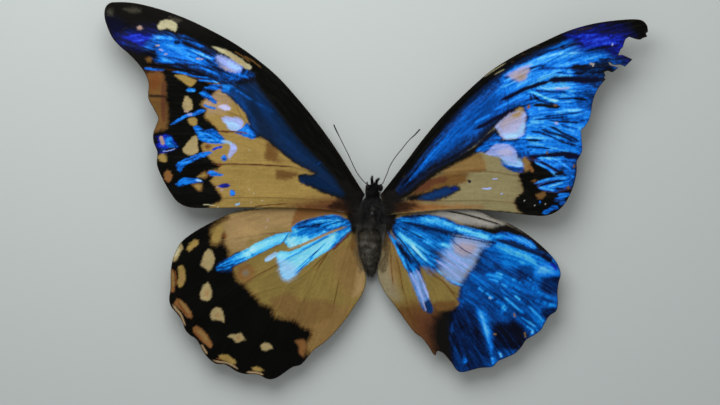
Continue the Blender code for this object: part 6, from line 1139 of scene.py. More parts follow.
def clippedGrid(ring, cell):
    # square cells whose corners lie inside the ring or near it; corners on the border move onto the ring
    low, high = ring.min(axis=0) - cell, ring.max(axis=0) + 2 * cell
    x, y = np.meshgrid(np.arange(low[0], high[0], cell), np.arange(low[1], high[1], cell), indexing="ij")
    distance, _, _, nearX, nearY = nearLine(x, y, np.vstack([ring, ring[:1]]))
    usable = insideRing(x, y, ring) | (distance < 0.5 * cell)
    keep = usable[:-1, :-1] & usable[1:, :-1] & usable[1:, 1:] & usable[:-1, 1:]
    touching = np.zeros(x.shape, int)
    for i in (0, 1):
        for j in (0, 1):
            touching[i:i + keep.shape[0], j:j + keep.shape[1]] += keep
    rim = (touching > 0) & (touching < 4)
    x, y = np.where(rim, nearX, x), np.where(rim, nearY, y)
    number = np.cumsum((touching > 0).ravel()).reshape(x.shape) - 1
    cells = np.stack([number[:-1, :-1], number[1:, :-1], number[1:, 1:], number[:-1, 1:]], -1)[keep]
    used = touching > 0
    return x[used], y[used], cells, np.where(rim, 0, distance)[used]


def borderWalls(cells, count):  # a wall under each cell edge that only one cell has
    edges = np.vstack([cells[:, [i, (i + 1) % 4]] for i in range(4)])
    key = np.sort(edges, axis=1) @ [count, 1]
    _, first, times = np.unique(key, return_index=True, return_counts=True)
    a, b = edges[first[times == 1]].T
    return np.column_stack([b, a, a + count, b + count])


def wingHeight(wing, x, y, field, foil=0.0):
    # root + rise * outward^1.4, ridges on the veins, sags between them, a slow buckle, a trough beside the
    # abdomen, and fine crinkles, with more of them where foil (the share of blue scales) is high
    seed, out = wing["seed"], np.abs(x) - relief["bodyHalf"]
    outward = np.clip(out / wing["span"], 0, 1.2)
    freed = np.clip(out / relief["freeRoot"], 0, 1)
    toVein = np.min([f[0] for f in field], axis=0)
    ridge = np.max([bell(f[0], relief["veinWidth"] * f[3]) * f[3] for f in field], axis=0)
    pleat = relief["veinRidge"] * ridge - relief["pleatDepth"] * (1 - bell(toVein, relief["pleatWidth"]))
    wave = np.sin(2 * math.pi * (y + 0.35 * np.abs(x)) / relief["waveLength"])
    beside = bell(out, relief["troughWidth"]) * np.clip((-2 - y) / 4, 0, 1)
    crinkle = streaks(field, *streakSize["crinkle"], seed) - 0.5 + 0.5 * (cloud(x / 1.6, y / 1.6, seed) - 0.5)
    fine = streaks(field, *streakSize["foilCrinkle"], seed + 21) - 0.5
    folds = relief["crinkle"] * crinkle + relief["foilCrinkle"] * foil * fine
    return (wing["root"] + wing["rise"] * outward**1.4 + pleat * freed + relief["wave"] * wave * outward**2
            - wing["trough"] * beside + folds * freed * ramp(toVein, 0, 0.8))


def coverage(x, y, kind, softness, flat, feather):
    # how much a mark covers each point: 1 well inside its outline, 0 well outside, feathered between; and
    # how far inside it is, 1 from softness + 0.7 on
    points = pairs(flat)
    if kind not in ("line", "ray"):
        points = np.vstack([points, points[:1]])
    line = smoothRun(points, 0.6) if len(points) > 2 else points
    reach = 2 * softness + 0.9
    low, high = line.min(axis=0) - reach, line.max(axis=0) + reach
    near = np.flatnonzero((x > low[0]) & (x < high[0]) & (y > low[1]) & (y < high[1]))
    distance, share, _, _, _ = nearLine(x[near], y[near], line)
    if kind not in ("line", "ray"):
        distance = np.where(insideRing(x[near], y[near], line[:-1]), -distance, distance)
        distance = distance - feather[near] * (0.12 + 0.45 * min(softness, 1))
        return near, ramp(-distance, -softness, softness), ramp(-distance, softness, softness + 0.7)
    taper = np.minimum(1, 5 * np.minimum(share, 1 - share) + 0.35)
    if kind == "ray":
        strength = bell(distance, softness * (1 + 0.4 * feather[near]) * taper) * taper
        return near, strength, strength
    strength = ramp(softness * taper * 1.5 - distance + 0.3 * feather[near] * softness, 0, softness * 0.9)
    return near, strength, strength


def runs(flat):  # one run of numbers, or several
    return flat if isinstance(flat[0], list) else [flat]


def foilColours(ladder, light):  # straight between the ladder's steps
    stops = np.array([stop for stop, _ in ladder])
    steps = np.array([linear(colour) for _, colour in ladder])
    return np.column_stack([np.interp(light, stops, steps[:, i]) for i in range(3)])


def stain(colours, colour, share):  # a screen colour laid over the others by its share at each point
    return mix(colours, linear(colour), share[:, None])


def paintTop(wing, x, y, field, rim):
    # the ground with its veins, then each mark in turn over the last; blue scales take their colour from
    # a painted light and shade on them, which is the base, the marks' glows and rays, and noise drawn out
    # along the veins
    seed = wing["seed"]
    guides = field + lineField(x, y, wing.get("folds", []))
    fine = ramp(streaks(guides, *streakSize["fine"], seed + 40), 0.3, 0.7)
    broad = ramp(streaks(field, *streakSize["broad"], seed + 60), 0.3, 0.7)
    mottle = 0.5 * cloud(x / 0.42, y / 0.42, seed + 3, 2)
    mottle += 0.5 * streaks(field, *streakSize["mottle"], seed + 35)
    # painted shade in the creases of the crumpled blue scales, along lines drawn out by the veins and folds
    folded = streaks(guides, *streakSize["creaseShade"], seed + 70) / 0.16 % 1 - 0.5
    creaseShade = wing["creaseShading"] * bell(folded, 0.13)
    feather = 1.6 * (streaks(field, *streakSize["feather"], seed + 50) - 0.5)
    feather += 1.2 * (cloud(x / 0.8, y / 0.8, seed + 9) - 0.5)
    feather += 0.9 * (noise(x / 0.25, y / 0.25, seed + 11) - 0.5)
    # painted light and shade on the blue scales, standing in for their glints, sheen and dark streaks
    light = np.full(len(x), shine["base"])
    lively = np.ones(len(x))
    for kind, amount, softness, flat in wing["marks"]:
        if kind not in ("glow", "ray", "calm"):
            continue
        for run in runs(flat):
            near, share, _ = coverage(x, y, kind, softness, run, feather)
            if kind == "calm":
                lively[near] *= 1 - amount * share
            else:
                light[near] += amount * share
    light += lively * (shine["fine"] * (fine - 0.5) + shine["broad"] * (broad - 0.5)
                       + shine["mottle"] * (mottle - 0.5) - creaseShade)
    knee = shine["knee"]
    light = np.where(light > knee, knee + shine["pastKnee"] * (light - knee), light)
    scuff = wing["scuffed"] * ramp(0.6 * cloud(x / 3, y / 3, seed + 30) + 0.4 * fine, 0.45, 0.85)
    soft = cloud(x / 4, y / 4, seed) - 0.5
    grain = (1 + 0.24 * soft + 0.12 * (fine - 0.5) + 0.3 * (mottle - 0.5))[:, None]
    toVein = np.min([f[0] / f[3] for f in field], axis=0)
    veined = wing["veined"] * bell(toVein, veinInk["width"])
    colours = stain(linear(tones[wing["ground"]]) * grain, tones["vein"], veined)
    blue = np.zeros(len(x))
    for kind, tone, softness, flat in wing["marks"]:
        if kind not in ("area", "line", "rim"):
            continue
        for run in runs(flat):
            if kind == "rim":  # a brown halo around a dark field
                near, share, _ = coverage(x, y, kind, softness + 0.45, run, feather)
                colours[near] = stain(colours[near], tones["redBrown"], 0.62 * share)
            near, share, deep = coverage(x, y, kind, softness, run, feather)
            if tone in sheerTones:  # thin pale scales let the blue through in streaks
                share = share * (0.68 + 0.32 * fine[near])
            if tone in foils:
                fresh = foilColours(foils[tone], light[near] - shine["edge"] * (1 - deep))
            else:
                fresh = linear(tones[tone]) * grain[near]
            if tone == "black":
                fresh = stain(fresh, tones["scuff"], scuff[near])
            colours[near] = mix(colours[near], fresh, share[:, None])
            blue[near] = mix(blue[near], float(tone in foilTones), share)
    darkVein = blue * veinInk["blueShare"] * bell(toVein, veinInk["blueWidth"])
    colours = stain(colours, tones["navy"], darkVein)
    colours = stain(colours, tones["fringe"], veinInk["rimShare"] * bell(rim, veinInk["rimWidth"]))
    for sx, sy in pairs(wing["specks"]):
        spot = 0.8 * np.exp(-(((x - sx) ** 2 + (y - sy) ** 2) / 0.014))
        colours = stain(colours, tones["white"], spot)
    return np.clip(colours, 0.001, 1), blue


underLook = {  # bands: mm in from the rim, half width, tone; rings: share of the eyespot's radius, colour
    "ground": (104, 80, 52), "dark": (58, 42, 27), "band": (170, 148, 108),
    "bands": [(3.4, 0.7, "band"), (1.0, 0.3, "band"), (5.6, 0.5, "dark")],
    "rings": [(1.0, (196, 164, 92)), (0.78, (24, 18, 14)), (0.5, (110, 66, 34)), (0.3, (16, 12, 10)),
              (0.13, (226, 226, 226))],
}


def paintUnder(wing, x, y, field, rim):  # brown blotches, wavy bands inside the rim, ringed eyespots, veins
    seed = wing["seed"] + 80
    blotch = cloud(x / 6, y / 6, seed)
    colours = stain(linear(underLook["ground"]), underLook["dark"], ramp(blotch, 0.35, 0.65))
    wavy = rim + 1.6 * (cloud(x / 2.6, y / 2.6, seed + 1) - 0.5)
    for at, wide, tone in underLook["bands"]:
        colours = stain(colours, underLook[tone], 0.8 * bell(wavy - at, wide))
    for sx, sy, radius in np.array(wing["eyespots"]).reshape(-1, 3):
        away = np.hypot((x - sx) / 1.1, y - sy) + 0.25 * (blotch - 0.5)
        for share, colour in underLook["rings"]:
            colours = stain(colours, colour, ramp(share * radius - away, -0.12, 0.12))
    toVein = np.min([f[0] / f[3] for f in field], axis=0)
    colours = stain(colours, tones["vein"], 0.6 * bell(toVein, veinInk["width"]))
    return np.clip(colours * (0.8 + 0.5 * streaks(field, 0.5, 3.0, seed))[:, None], 0.001, 1)


def addWing(name, wing):
    # a grid inside the outline at wingHeight, the same grid one thickness below, and walls round the rim
    x, y, cells, rim = clippedGrid(wingOutline(wing, 0.5), relief["cell"])
    field = veinField(wing, x, y)
    top, blue = paintTop(wing, x, y, field, rim)
    z = wingHeight(wing, x, y, field, blue)
    thin = relief["thickness"] * (0.45 + 0.55 * ramp(rim, 0, 0.6))
    points = np.vstack([np.column_stack([x, y, z]), np.column_stack([x, y, z - thin])])
    faces = [np.vstack([cells, cells[:, ::-1] + len(x), borderWalls(cells, len(x))])]
    colours = np.vstack([top, paintUnder(wing, x, y, field, rim)])
    masks = {"blue": np.concatenate([blue, np.zeros(len(x))])}
    addMesh(name + "_scaled", points, faces, wingScales, name, colours, masks)
    print(name, len(points), "points")


wings = {"left_forewing": leftForewing, "right_forewing": rightForewing, "left_hindwing": leftHindwing,
         "right_hindwing": rightHindwing}
for name, wing in wings.items():
    addWing(name, wing)


# Body: skins just inside the solids, so that the fur's tips end at the solids' faces

body = {  # stations of the trunk: y, middle x, half width, low z and high z of each
    "thorax": [4.65, 0.35, 0.80, 3.1, 5.0, 4.30, 0.28, 1.15, 2.5, 5.6, 3.50, 0.15, 1.75, 1.2, 6.4,
               2.20, 0.00, 2.45, -0.1, 7.0, 0.60, 0.00, 2.85, -0.5, 7.3, -1.00, 0.00, 2.85, -0.4, 7.2,
               -2.20, -0.10, 2.50, 0.3, 6.7, -2.90, -0.20, 1.90, 1.1, 6.1, -3.15, -0.25, 1.20, 2.0, 5.3],
    "abdomen": [-3.50, -0.30, 1.40, 1.6, 5.0, -4.20, -0.42, 2.25, 0.9, 5.5, -5.50, -0.48, 2.66, 0.5, 5.7,
                -7.50, -0.42, 2.66, 0.4, 5.6, -9.40, -0.48, 2.48, 0.4, 5.3, -11.00, -0.50, 2.10, 0.5, 4.9,
                -12.60, -0.32, 1.68, 0.7, 4.4, -13.90, -0.22, 1.25, 1.0, 3.8, -14.80, -0.32, 0.62, 1.5, 3.1],
    "joints": (-5.1, -6.6, -8.2, -9.8, -11.2, -12.6, -13.8), "jointPinch": 0.05, "jointWidth": 0.16,
    "fullness": 2.5, "thoraxFurDepth": 0.3, "abdomenFurDepth": 0.28, "headFurDepth": 0.2,
    "headCentre": (0.55, 5.95, 4.2), "headRadii": (1.3, 0.95, 1.45),
    "eyeOffset": 1.5, "eyeRadii": (0.6, 0.85, 1.15),
    "thoraxSkin": (15, 15, 16), "abdomenSkin": (54, 50, 42), "greySkin": (112, 108, 97),
    "greyFur": (160, 157, 146), "greyShare": {"thorax": 0.4, "abdomen": 0.62},
}


def trunkRings(stations, rows, sides, inset, pinch):
    # ovals |x/a|^f + |z/b|^f = 1 at each y, drawn in at the joints, cut off flat at the resting surface
    smooth = smoothRun(np.array(stations).reshape(-1, 5), 0.1)
    smooth = smooth[np.argsort(smooth[:, 0])]
    y = np.linspace(smooth[-1, 0], smooth[0, 0], rows)
    middle, half, low, high = (np.interp(y, smooth[:, 0], smooth[:, i])[:, None] for i in range(1, 5))
    turn = np.linspace(0, 2 * math.pi, sides, endpoint=False)
    power = 2 / body["fullness"]
    ovalX = np.sign(np.cos(turn)) * np.abs(np.cos(turn)) ** power
    ovalZ = np.sign(np.sin(turn)) * np.abs(np.sin(turn)) ** power
    draw = 1 - pinch * sum(bell(y - joint, body["jointWidth"]) for joint in body["joints"])[:, None]
    bumps = 0.12 * (cloud(y[:, None] * 1.3, np.cos(turn) * 3 + 9, 5) - 0.5)
    x = middle + ovalX * (half * draw - inset + bumps)
    z = (low + high) / 2 + ovalZ * ((high - low) / 2 * draw - inset + bumps)
    return np.stack([x, np.broadcast_to(y[:, None], x.shape), np.maximum(z, 0.0)], -1)[:, ::-1]


def ballRings(centre, radii, rows, sides):  # an ellipsoid in rings about its y axis, not quite to the poles
    pole = np.linspace(0.03, math.pi - 0.03, rows)[:, None]
    turn = np.linspace(0, 2 * math.pi, sides, endpoint=False)
    x, y, z = np.sin(pole) * np.cos(turn), np.cos(pole) + 0 * turn, -np.sin(pole) * np.sin(turn)
    return np.array(centre) + np.stack([x, y, z], -1) * np.array(radii)


def surfacePoints(rings, count, generator):
    # random places on a ring surface, each with its normal: cross product of the two directions of the grid
    rows, sides = rings.shape[:2]
    closed = np.concatenate([rings, rings[:, :1]], axis=1)
    along = closed[1:, :-1] - closed[:-1, :-1]
    around = closed[:-1, 1:] - closed[:-1, :-1]
    normal = np.cross(around, along).reshape(-1, 3)
    area = np.linalg.norm(normal, axis=1)
    pick = generator.choice(len(area), count, p=area / area.sum())
    s, t = generator.random((2, count, 1))
    i, j = pick // sides, pick % sides
    place = closed[i, j] + s * along[i, j] + t * around[i, j]
    normal = normal[pick] / area[pick][:, None]
    outward = np.sign(((place - rings.reshape(-1, 3).mean(axis=0)) * normal).sum(axis=1))[:, None]
    return place, normal * outward


furPatches = {  # greyer places in the fur: x, y, half width, half length and strength of each
    "abdomen": [-2.0, -6.9, 1.0, 0.6, 1.0, 0.2, -7.5, 0.7, 0.6, 0.8, -1.1, -8.9, 0.8, 0.6, 0.7,
                -0.8, -11.5, 0.9, 0.3, 0.7, -1.6, -5.4, 0.9, 0.5, 0.5, 0.9, -5.2, 0.8, 0.5, 0.35,
                -0.6, -10.2, 0.8, 0.3, 0.45, -0.5, -12.8, 0.8, 0.25, 0.3, 1.0, -9.4, 0.6, 0.3, 0.3],
    "thorax": [-2.7, 0.4, 0.6, 0.9, 0.8, -2.2, 1.7, 0.5, 0.5, 0.7, -2.7, -2.2, 0.8, 0.7, 0.8,
               2.6, -2.4, 0.7, 0.6, 0.7, 0.1, -1.3, 0.5, 0.8, 0.5, -0.9, -2.7, 0.9, 0.5, 0.7,
               1.4, -3.0, 0.6, 0.4, 0.5, 2.6, 0.9, 0.5, 0.3, 0.5, 0.1, 1.2, 0.3, 0.5, 0.4],
}


def furTone(kind, x, y):  # share of grey in the fur: soft patches and faint broken rows behind the joints
    share = 0.0
    for px, py, wide, long, strength in np.array(furPatches.get(kind, [])).reshape(-1, 5):
        share = share + strength * np.exp(-(((x - px) / wide) ** 2) - ((y - py) / long) ** 2)
    if kind == "abdomen":
        rows = sum(bell(y - joint + 0.35, 0.22) for joint in body["joints"])
        share = share + 0.5 * rows * ramp(cloud(x * 0.9, y * 0.9, 4), 0.4, 0.7)
    return np.clip(share * (0.4 + 1.2 * cloud(x * 1.7, y * 1.7, 8)), 0, 1)[:, None]


def shadedRight(tone, x):  # painted shade: the abdomen is darker on its right side
    return tone * (1 - 0.45 * ramp(x, -0.6, 1.4))[:, None]


def skinTint(dark, kind=""):  # cloudy skin, greyer on top where the fur is
    def tint(points, u, v):
        x, y = points[:, 0], points[:, 1]
        grey = 0.55 * furTone(kind, x, y) * (points[:, 2:] > 3)
        tone = mix(linear(dark), linear(body["greySkin"]), grey)
        # painted shade on the abdomen's right side
        if kind == "abdomen":
            tone = shadedRight(tone, x)
        return tone * (0.6 + 0.8 * cloud(x * 2, y * 2, 3))[:, None]
    return tint


# how strongly tufts, chance, the lie and a droop turn each hair, and how much paler or darker a tuft is
furLook = {"tuft": 1.3, "stray": 0.3, "follow": 0.45, "droop": 0.25, "waver": 0.22, "tuftShade": 2.4}


def addFur(name, rings, count, length, lie, seed, dark, pale, thick, keep=None, kind="", rise=0.75):
    # hairs on the surface: they set out along rise * normal + lie, in tufts and a little astray, bend
    # towards lie and down, and are tinted between dark and pale
    generator = np.random.default_rng(seed)
    place, normal = surfacePoints(rings, count, generator)
    if keep is not None:
        chosen = keep(place)
        place, normal = place[chosen], normal[chosen]
    count = len(place)
    lie = np.broadcast_to(np.array(lie(place) if callable(lie) else lie, float), place.shape)
    x, y = place[:, 0], place[:, 1]
    tuft = np.column_stack([cloud(x * 1.5, y * 1.5, seed + k) - 0.5 for k in (0, 30, 60)])
    stray = furLook["stray"] * generator.normal(size=(count, 3))
    lay = normalised(rise * normal + lie + furLook["tuft"] * tuft * [1, 1, 0.5] + stray)
    waver = furLook["waver"] * generator.normal(size=(count, 3))
    bend = furLook["follow"] * lie - furLook["droop"] * normal + waver
    size = length * (0.5 + 0.8 * generator.random(count))
    share = generator.random(count)[:, None] ** 3
    tint = mix(linear(dark), linear(pale), share) * (0.55 + 0.9 * generator.random((count, 1)))
    tint = tint * (1 + furLook["tuftShade"] * tuft[:, :1])
    # painted shade on the abdomen's right side
    if kind == "abdomen":
        tint = shadedRight(tint, x)
    tint = mix(tint, linear(body["greyFur"]), body["greyShare"].get(kind, 0) * furTone(kind, x, y))
    addHairs(name, place, lay, bend, size, thick, tint)


def sideways(out, along, up=0.0):  # a lie that points away from the body's middle line
    return lambda place: np.column_stack([np.sign(place[:, 0]) * out, np.full(len(place), along),
                                          np.full(len(place), up)])


def headLie(place):  # back over the crown, forward over the face
    count = len(place)
    return np.column_stack([np.zeros(count), np.where(place[:, 1] < 5.6, -0.7, 0.35), np.full(count, 0.2)])


thoraxRings = trunkRings(body["thorax"], 90, 96, body["thoraxFurDepth"], 0.0)
addRings("thorax_skin", thoraxRings, furSkin, "thorax", skinTint(body["thoraxSkin"], "thorax"))
abdomenRings = trunkRings(body["abdomen"], 180, 96, body["abdomenFurDepth"], body["jointPinch"])
addRings("abdomen_skin", abdomenRings, furSkin, "abdomen",
         skinTint(body["abdomenSkin"], "abdomen"))
headRings = ballRings(body["headCentre"], np.array(body["headRadii"]) - body["headFurDepth"], 48, 64)
addRings("head_skin", headRings, furSkin, "head", skinTint(body["thoraxSkin"]))

coats = {
    "thorax_fur": dict(rings=thoraxRings, count=9000, length=0.9, lie=(0, -0.7, 0), seed=11,
                       dark=(10, 10, 11), pale=(78, 78, 76), thick=0.026, kind="thorax"),
    "thorax_mantle": dict(rings=thoraxRings, count=15000, length=1.8, lie=sideways(1.0, -0.35, 0.1),
                          seed=14, dark=(12, 12, 13), pale=(84, 84, 82), thick=0.021, kind="thorax",
                          rise=0.35, keep=lambda p: (np.abs(p[:, 0]) > 1.5) & (p[:, 2] > 4.6)),
    "thorax_collar": dict(rings=thoraxRings, count=16000, length=1.3, lie=(0.0, 0.95, 0.25), seed=15,
                          dark=(12, 12, 12), pale=(48, 47, 44), thick=0.02, rise=0.6,
                          keep=lambda p: (p[:, 1] > 3.5) & (p[:, 2] > 2.6) & (np.abs(p[:, 0] - 0.35) < 2.1)),
    "abdomen_fur": dict(rings=abdomenRings, count=9500, length=0.6, lie=(0, -1.0, 0), seed=12,
                        dark=(38, 36, 31), pale=(124, 118, 102), thick=0.024, kind="abdomen"),
    "abdomen_fringe": dict(rings=abdomenRings, count=9000, length=0.6, lie=sideways(0.4, -1.0), seed=16,
                           dark=(52, 45, 34), pale=(122, 106, 76), thick=0.015, kind="abdomen", rise=0.3,
                           keep=lambda p: (np.abs(p[:, 0] + 0.4) > 1.4) & (p[:, 2] > 2.8)),
    "head_fur": dict(rings=headRings, count=4200, length=0.4, lie=headLie, seed=13, dark=(10, 10, 10),
                     pale=(46, 45, 42), thick=0.018),
}
for name, coat in coats.items():
    addFur(name, **coat)

for side, sign in (("left", -1), ("right", 1)):
    cx, cy, cz = body["headCentre"]
    eye = ballRings((cx + sign * body["eyeOffset"], cy, cz), body["eyeRadii"], 64, 96)
    addRings(side + "_eye_gloss", eye, eyeGloss, side + "_eye")
print("body done")


# Feelers, palps and tongue

feelers = {
    "left": [-0.05, 6.3, 5.15, -0.75, 6.62, 5.75, -1.5, 7.0, 6.1, -2.2, 7.7, 6.3, -3.6, 9.6, 6.8,
             -4.6, 11.6, 7.2, -5.6, 13.8, 7.6, -6.6, 15.8, 7.9, -7.6, 17.8, 8.1, -8.4, 19.4, 8.2,
             -9.0, 20.8, 8.2],
    "right": [1.15, 6.3, 5.15, 1.85, 6.62, 5.75, 2.5, 6.95, 6.1, 3.0, 8.0, 6.35, 3.6, 9.4, 6.7,
              4.1, 10.8, 7.0, 5.0, 12.4, 7.4, 6.0, 13.8, 7.7, 7.0, 15.0, 7.9, 8.0, 16.3, 8.1,
              9.0, 17.4, 8.2, 10.0, 18.3, 8.3, 11.3, 19.7, 8.3],
    "shaft": 0.1, "club": 0.17, "clubShare": 0.22, "joints": 48,
}


def feelerTint(points, u, v):  # dark joints, each with a paler ring at its foot
    ring = ramp(np.cos(2 * math.pi * feelers["joints"] * u), 0.75, 1.0)[:, None]
    return mix(linear((16, 15, 14)), linear((70, 64, 54)), 0.5 * ring)


for side in ("left", "right"):
    path = smoothRun(np.array(feelers[side]).reshape(-1, 3), 0.05)
    u = np.linspace(0, 1, len(path))
    club = np.clip((u - 1 + feelers["clubShare"]) / feelers["clubShare"], 0, 1)
    radius = mix(feelers["shaft"], feelers["club"], ramp(club, 0, 0.8)) * (1 - 0.6 * ramp(u, 0.985, 1))
    radius = radius * (0.92 + 0.08 * np.abs(np.sin(math.pi * feelers["joints"] * u)))
    addRings(side + "_antenna_jointed", tubeRings(path, radius, 16), hornShell,
             side + "_antenna", feelerTint)

palps = {
    "left": ([0.15, 6.3, 3.7, 0.02, 7.1, 3.9, -0.02, 7.9, 4.3, 0.05, 8.6, 4.7], [0.2, 0.24, 0.2, 0.07]),
    "right": ([0.9, 6.3, 3.7, 1.0, 7.1, 3.9, 1.3, 7.6, 4.3, 1.75, 7.9, 4.6], [0.2, 0.27, 0.24, 0.1]),
    "skin": (18, 17, 15), "skinShare": 0.8,
    "fur": dict(count=900, length=0.42, lie=(0.15, 0.9, 0.3), seed=21, dark=(10, 10, 10), pale=(52, 50, 46),
                thick=0.014),
}


def limbRun(path, radii):  # path and radius together, smoothed
    return smoothRun(np.column_stack([np.array(path).reshape(-1, 3), radii]), 0.06)


for side in ("left", "right"):
    path, radii = palps[side]
    run = limbRun(path, np.array(radii) * palps["skinShare"])
    rings = tubeRings(run[:, :3], run[:, 3], 16)
    addRings(side + "_palp_skin", rings, furSkin, side + "_palp", skinTint(palps["skin"]))
    addFur(side + "_palp_fur", rings, **palps["fur"])

tongue = {"centre": (0.55, 6.75, 1.95), "radius": 0.74, "turns": 2.2, "pitch": 0.27, "thick": 0.09,
          "taper": 0.45, "start": 105, "mouth": [(0.55, 6.3, 3.5), (0.55, 6.36, 3.0)],
          "brown": (58, 38, 22), "dark": (26, 18, 13)}
turn = np.linspace(0, tongue["turns"], 24)
angle = math.radians(tongue["start"]) - turn * 2 * math.pi
reach = tongue["radius"] - tongue["pitch"] * turn
cx, cy, cz = tongue["centre"]
coil = np.column_stack([np.full(24, cx), cy + reach * np.cos(angle), cz + reach * np.sin(angle)])
route = smoothRun(np.vstack([tongue["mouth"], coil]), 0.02)
ribs = 0.94 + 0.06 * np.sin(np.arange(len(route)) * 1.3)
ribbed = tongue["thick"] * ribs * (1 - tongue["taper"] * np.linspace(0, 1, len(route)))
addRings("tongue_coil", tubeRings(route, ribbed, 14), hornShell, "tongue",
         lambda points, u, v: mix(linear(tongue["brown"]), linear(tongue["dark"]), v[:, None]))
print("feelers, palps and tongue done")


# Legs: each segment swells between its joints, and short spines stand along it

legs = {
    "fore_leg": ([0.85, 3.1, 2.3, 1.0, 3.6, 1.2, 1.25, 4.5, 0.85, 1.35, 5.6, 0.9, 1.2, 6.6, 0.35,
                  1.1, 7.4, 0.16], [0.24, 0.24, 0.24, 0.2, 0.17, 0.15]),
    "middle_leg": ([1.5, 1.3, 1.9, 2.35, 1.7, 0.9, 3.3, 2.5, 1.5, 4.3, 3.5, 2.4, 4.6, 4.4, 1.2,
                    4.6, 5.3, 0.28, 4.3, 6.5, 0.17], [0.3, 0.34, 0.36, 0.26, 0.22, 0.17, 0.15]),
    "hind_leg": ([1.5, -1.2, 1.9, 2.35, -1.5, 0.9, 3.4, -2.3, 1.6, 4.3, -3.4, 2.5, 4.5, -5.1, 1.3,
                  4.2, -6.9, 0.28, 3.6, -9.4, 0.17], [0.3, 0.34, 0.36, 0.26, 0.22, 0.17, 0.15]),
}
legLook = {
    "thin": 0.84, "swell": 0.16, "colour": (46, 36, 26),
    "spineLie": {"fore_leg": 0.6, "middle_leg": 0.6, "hind_leg": -0.6},
    "spines": dict(count=260, length=0.22, seed=31, dark=(20, 16, 12), pale=(60, 50, 38), thick=0.016,
                   keep=lambda p: p[:, 2] > 0.35),
}


def legTint(points, u, v):  # one colour, paler along one side
    return linear(legLook["colour"]) * (0.7 + 0.6 * v[:, None])


for kind, (path, radii) in legs.items():
    for side, sign in (("left", -1), ("right", 1)):
        run = limbRun(np.array(path).reshape(-1, 3) * [sign, 1, 1], radii)
        swell = np.abs(np.sin(math.pi * (len(radii) + 3) * np.linspace(0, 1, len(run))))
        rings = tubeRings(run[:, :3], run[:, 3] * (legLook["thin"] + legLook["swell"] * swell), 18)
        addRings(f"{side}_{kind}_jointed", rings, hornShell, f"{side}_{kind}", legTint)
        lie = (0, legLook["spineLie"][kind], -0.3)
        addFur(f"{side}_{kind}_spines", rings, lie=lie, **legLook["spines"])
print("legs done")


# Pin: a profile turned about its axis

pin = {"place": (0.0, -0.1), "shaft": 0.22, "head": 0.48, "foot": 1.2, "point": 0.08, "top": 9.0,
       "neck": -70}
arc = np.linspace(math.radians(pin["neck"]), math.pi / 2 - 0.04, 40)
profile = np.column_stack([pin["head"] * np.cos(arc), pin["top"] + pin["head"] * np.sin(arc)])
stem = np.column_stack([np.full(60, pin["shaft"]), np.linspace(pin["foot"], profile[0, 1] - 0.1, 60)])
profile = np.vstack([[[pin["point"], pin["foot"]]], stem, profile])
turn = np.linspace(0, 2 * math.pi, 64, endpoint=False)
pinRings = np.stack([
    pin["place"][0] + profile[:, :1] * np.cos(turn), pin["place"][1] + profile[:, :1] * np.sin(turn),
    np.broadcast_to(profile[:, 1:], (len(profile), 64))], -1)
addRings("pin_turned", pinRings, pinSteel, "pin")
print("pin done")


# Hair at the wings' roots and along the hindwings' inner edges

# each coat: outline (mirrored for the left), hairs, length, dark and pale tint, and the way they lie
# (out, along)
rootHair = {
    "forewing": [
        ([2.0, 4.9, 4.0, 5.4, 5.6, 4.8, 6.2, 3.2, 5.8, 1.4, 4.8, 0.2, 2.4, -0.9],
         3400, 1.1, (13, 13, 13), (62, 59, 54), (0.9, 0.12)),
        ([4.4, 2.9, 8.4, 2.8, 10.4, 1.8, 8.2, 0.6, 4.2, 0.2],
         900, 1.2, (50, 30, 22), (112, 74, 48), (1.0, -0.05)),
    ],
    "hindwing": [
        ([2.4, 0.6, 4.8, 0.8, 5.4, -0.8, 5.0, -2.4, 4.2, -3.8, 2.6, -4.6],
         2400, 0.9, (18, 16, 15), (62, 56, 48), (0.8, -0.5)),
        ([2.6, -4.0, 4.2, -4.6, 4.6, -8.0, 4.0, -12.0, 3.0, -14.0, 1.0, -13.0],
         900, 1.0, (112, 94, 64), (160, 140, 102), (-0.5, -0.9)),
        ([2.6, -3.2, 3.8, -3.6, 4.0, -5.4, 3.4, -7.4, 2.2, -8.0],
         600, 0.9, (58, 48, 36), (116, 98, 70), (-0.9, -0.35)),
    ],
    "thick": 0.016,
}


def addRootHair(name, wing, coats, sign, seed):
    # hairs stand on the wing inside each outline, ever thinner towards its ragged edge
    generator = np.random.default_rng(seed)
    parts = []
    for outline, count, length, dark, pale, (out, along) in coats:
        ring = smoothRun(pairs(outline + outline[:2]) * [sign, 1], 0.5)
        spread = generator.random((2, 3 * count))
        x, y = ring.min(axis=0)[:, None] + np.ptp(ring, axis=0)[:, None] * spread
        depth = nearLine(x, y, ring)[0] * np.where(insideRing(x, y, ring[:-1]), 1, -1)
        chance = ramp(depth + 1.2 * (cloud(x, y, seed) - 0.5), -0.3, 1.1)
        usable = (generator.random(len(x)) < chance) & insideRing(x, y, wingOutline(wing, 1.0))
        x, y = x[usable][:count], y[usable][:count]
        z = wingHeight(wing, x, y, veinField(wing, x, y))
        count = len(x)
        way = np.column_stack([np.full(count, sign * out), np.full(count, along), np.full(count, 0.28)])
        lay = normalised(way + 0.28 * generator.normal(size=(count, 3)) * [1, 1, 0.4])
        bend = np.column_stack([np.zeros(count), -0.2 * generator.random(count), np.full(count, -0.2)])
        share = generator.random((count, 1)) ** 2
        tint = mix(linear(dark), linear(pale), share) * (0.6 + 0.8 * generator.random((count, 1)))
        size = length * (0.5 + 0.8 * generator.random(count))
        parts.append((np.column_stack([x, y, z]), lay, bend, size, tint))
    roots, lay, bend, size, tint = (np.concatenate(arrays) for arrays in zip(*parts))
    addHairs(name, roots, lay, bend, size, rootHair["thick"], tint)


for k, (name, wing) in enumerate(wings.items()):
    side, kind = name.split("_")
    addRootHair(name + "_root_hair", wing, rootHair[kind], -1 if side == "left" else 1, 41 + k)
print("hair done")


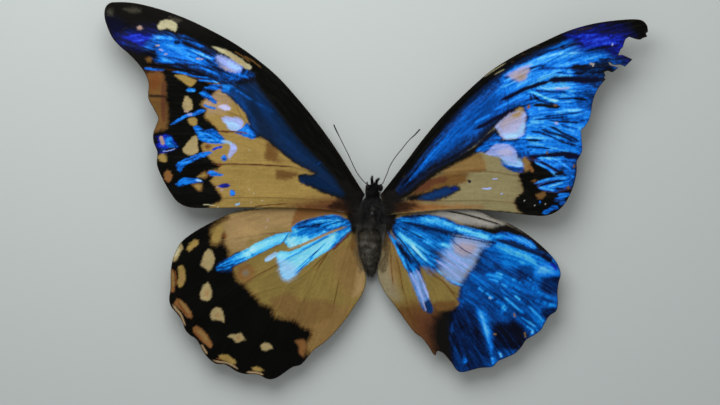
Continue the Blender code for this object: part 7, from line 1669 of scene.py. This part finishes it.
# Floor, light and camera

studio = {"floor": (199, 206, 204), "size": 6.0, "world": 0.36, "lens": 100.0, "sensor": 36.0,
          "width": 0.1692, "aim": (-0.00282, 0.00247, 0.007), "key": 0.4, "keyAt": (-0.05, 0.14, 0.19),
          "keySize": 0.2, "fill": 0.04, "fillAt": (0.1, 0.15, 0.26), "fillSize": 0.3}


def addFloor():  # a plain square just under the specimen
    material, tree, shader, _ = newMaterial("paleFloor")
    setSockets(tree, shader, (), {"Base Color": (*linear(studio["floor"]), 1), "Roughness": 0.9,
                                  "Specular IOR Level": 0.1})
    half = studio["size"] / 2
    mesh = bpy.data.meshes.new("floor")
    low = -0.00003
    mesh.from_pydata([(-half, -half, low), (half, -half, low), (half, half, low), (-half, half, low)], [],
                     [(0, 1, 2, 3)])
    mesh.materials.append(material)
    floor = bpy.data.objects.new("floor", mesh)
    scene.collection.objects.link(floor)


def addLamp(name, place, size, power):  # a round lamp that faces the camera's aim
    lamp = bpy.data.lights.new(name, "AREA")
    lamp.shape, lamp.size, lamp.energy = "DISK", size, power
    made = bpy.data.objects.new(name, lamp)
    made.location = place
    made.visible_camera = False
    x, y, z = (a - b for a, b in zip(place, studio["aim"]))
    made.rotation_euler = (math.atan2(math.hypot(x, y), z), 0, math.atan2(x, -y))
    scene.collection.objects.link(made)


addFloor()
addLamp("key", studio["keyAt"], studio["keySize"], studio["key"])
addLamp("fill", studio["fillAt"], studio["fillSize"], studio["fill"])
world = bpy.data.worlds.new("studio")
world.use_nodes = True
setSockets(world.node_tree, world.node_tree.nodes["Background"], (),
           {"Color": (1, 1, 1, 1), "Strength": studio["world"]})
scene.world = world
lens = bpy.data.cameras.new("camera")
lens.lens, lens.sensor_width, lens.clip_start = studio["lens"], studio["sensor"], 0.01
camera = bpy.data.objects.new("camera", lens)
ax, ay, az = studio["aim"]
camera.location = (ax, ay, az + studio["width"] * studio["lens"] / studio["sensor"])
scene.collection.objects.link(camera)
scene.camera = camera
print("floor, light and camera done")
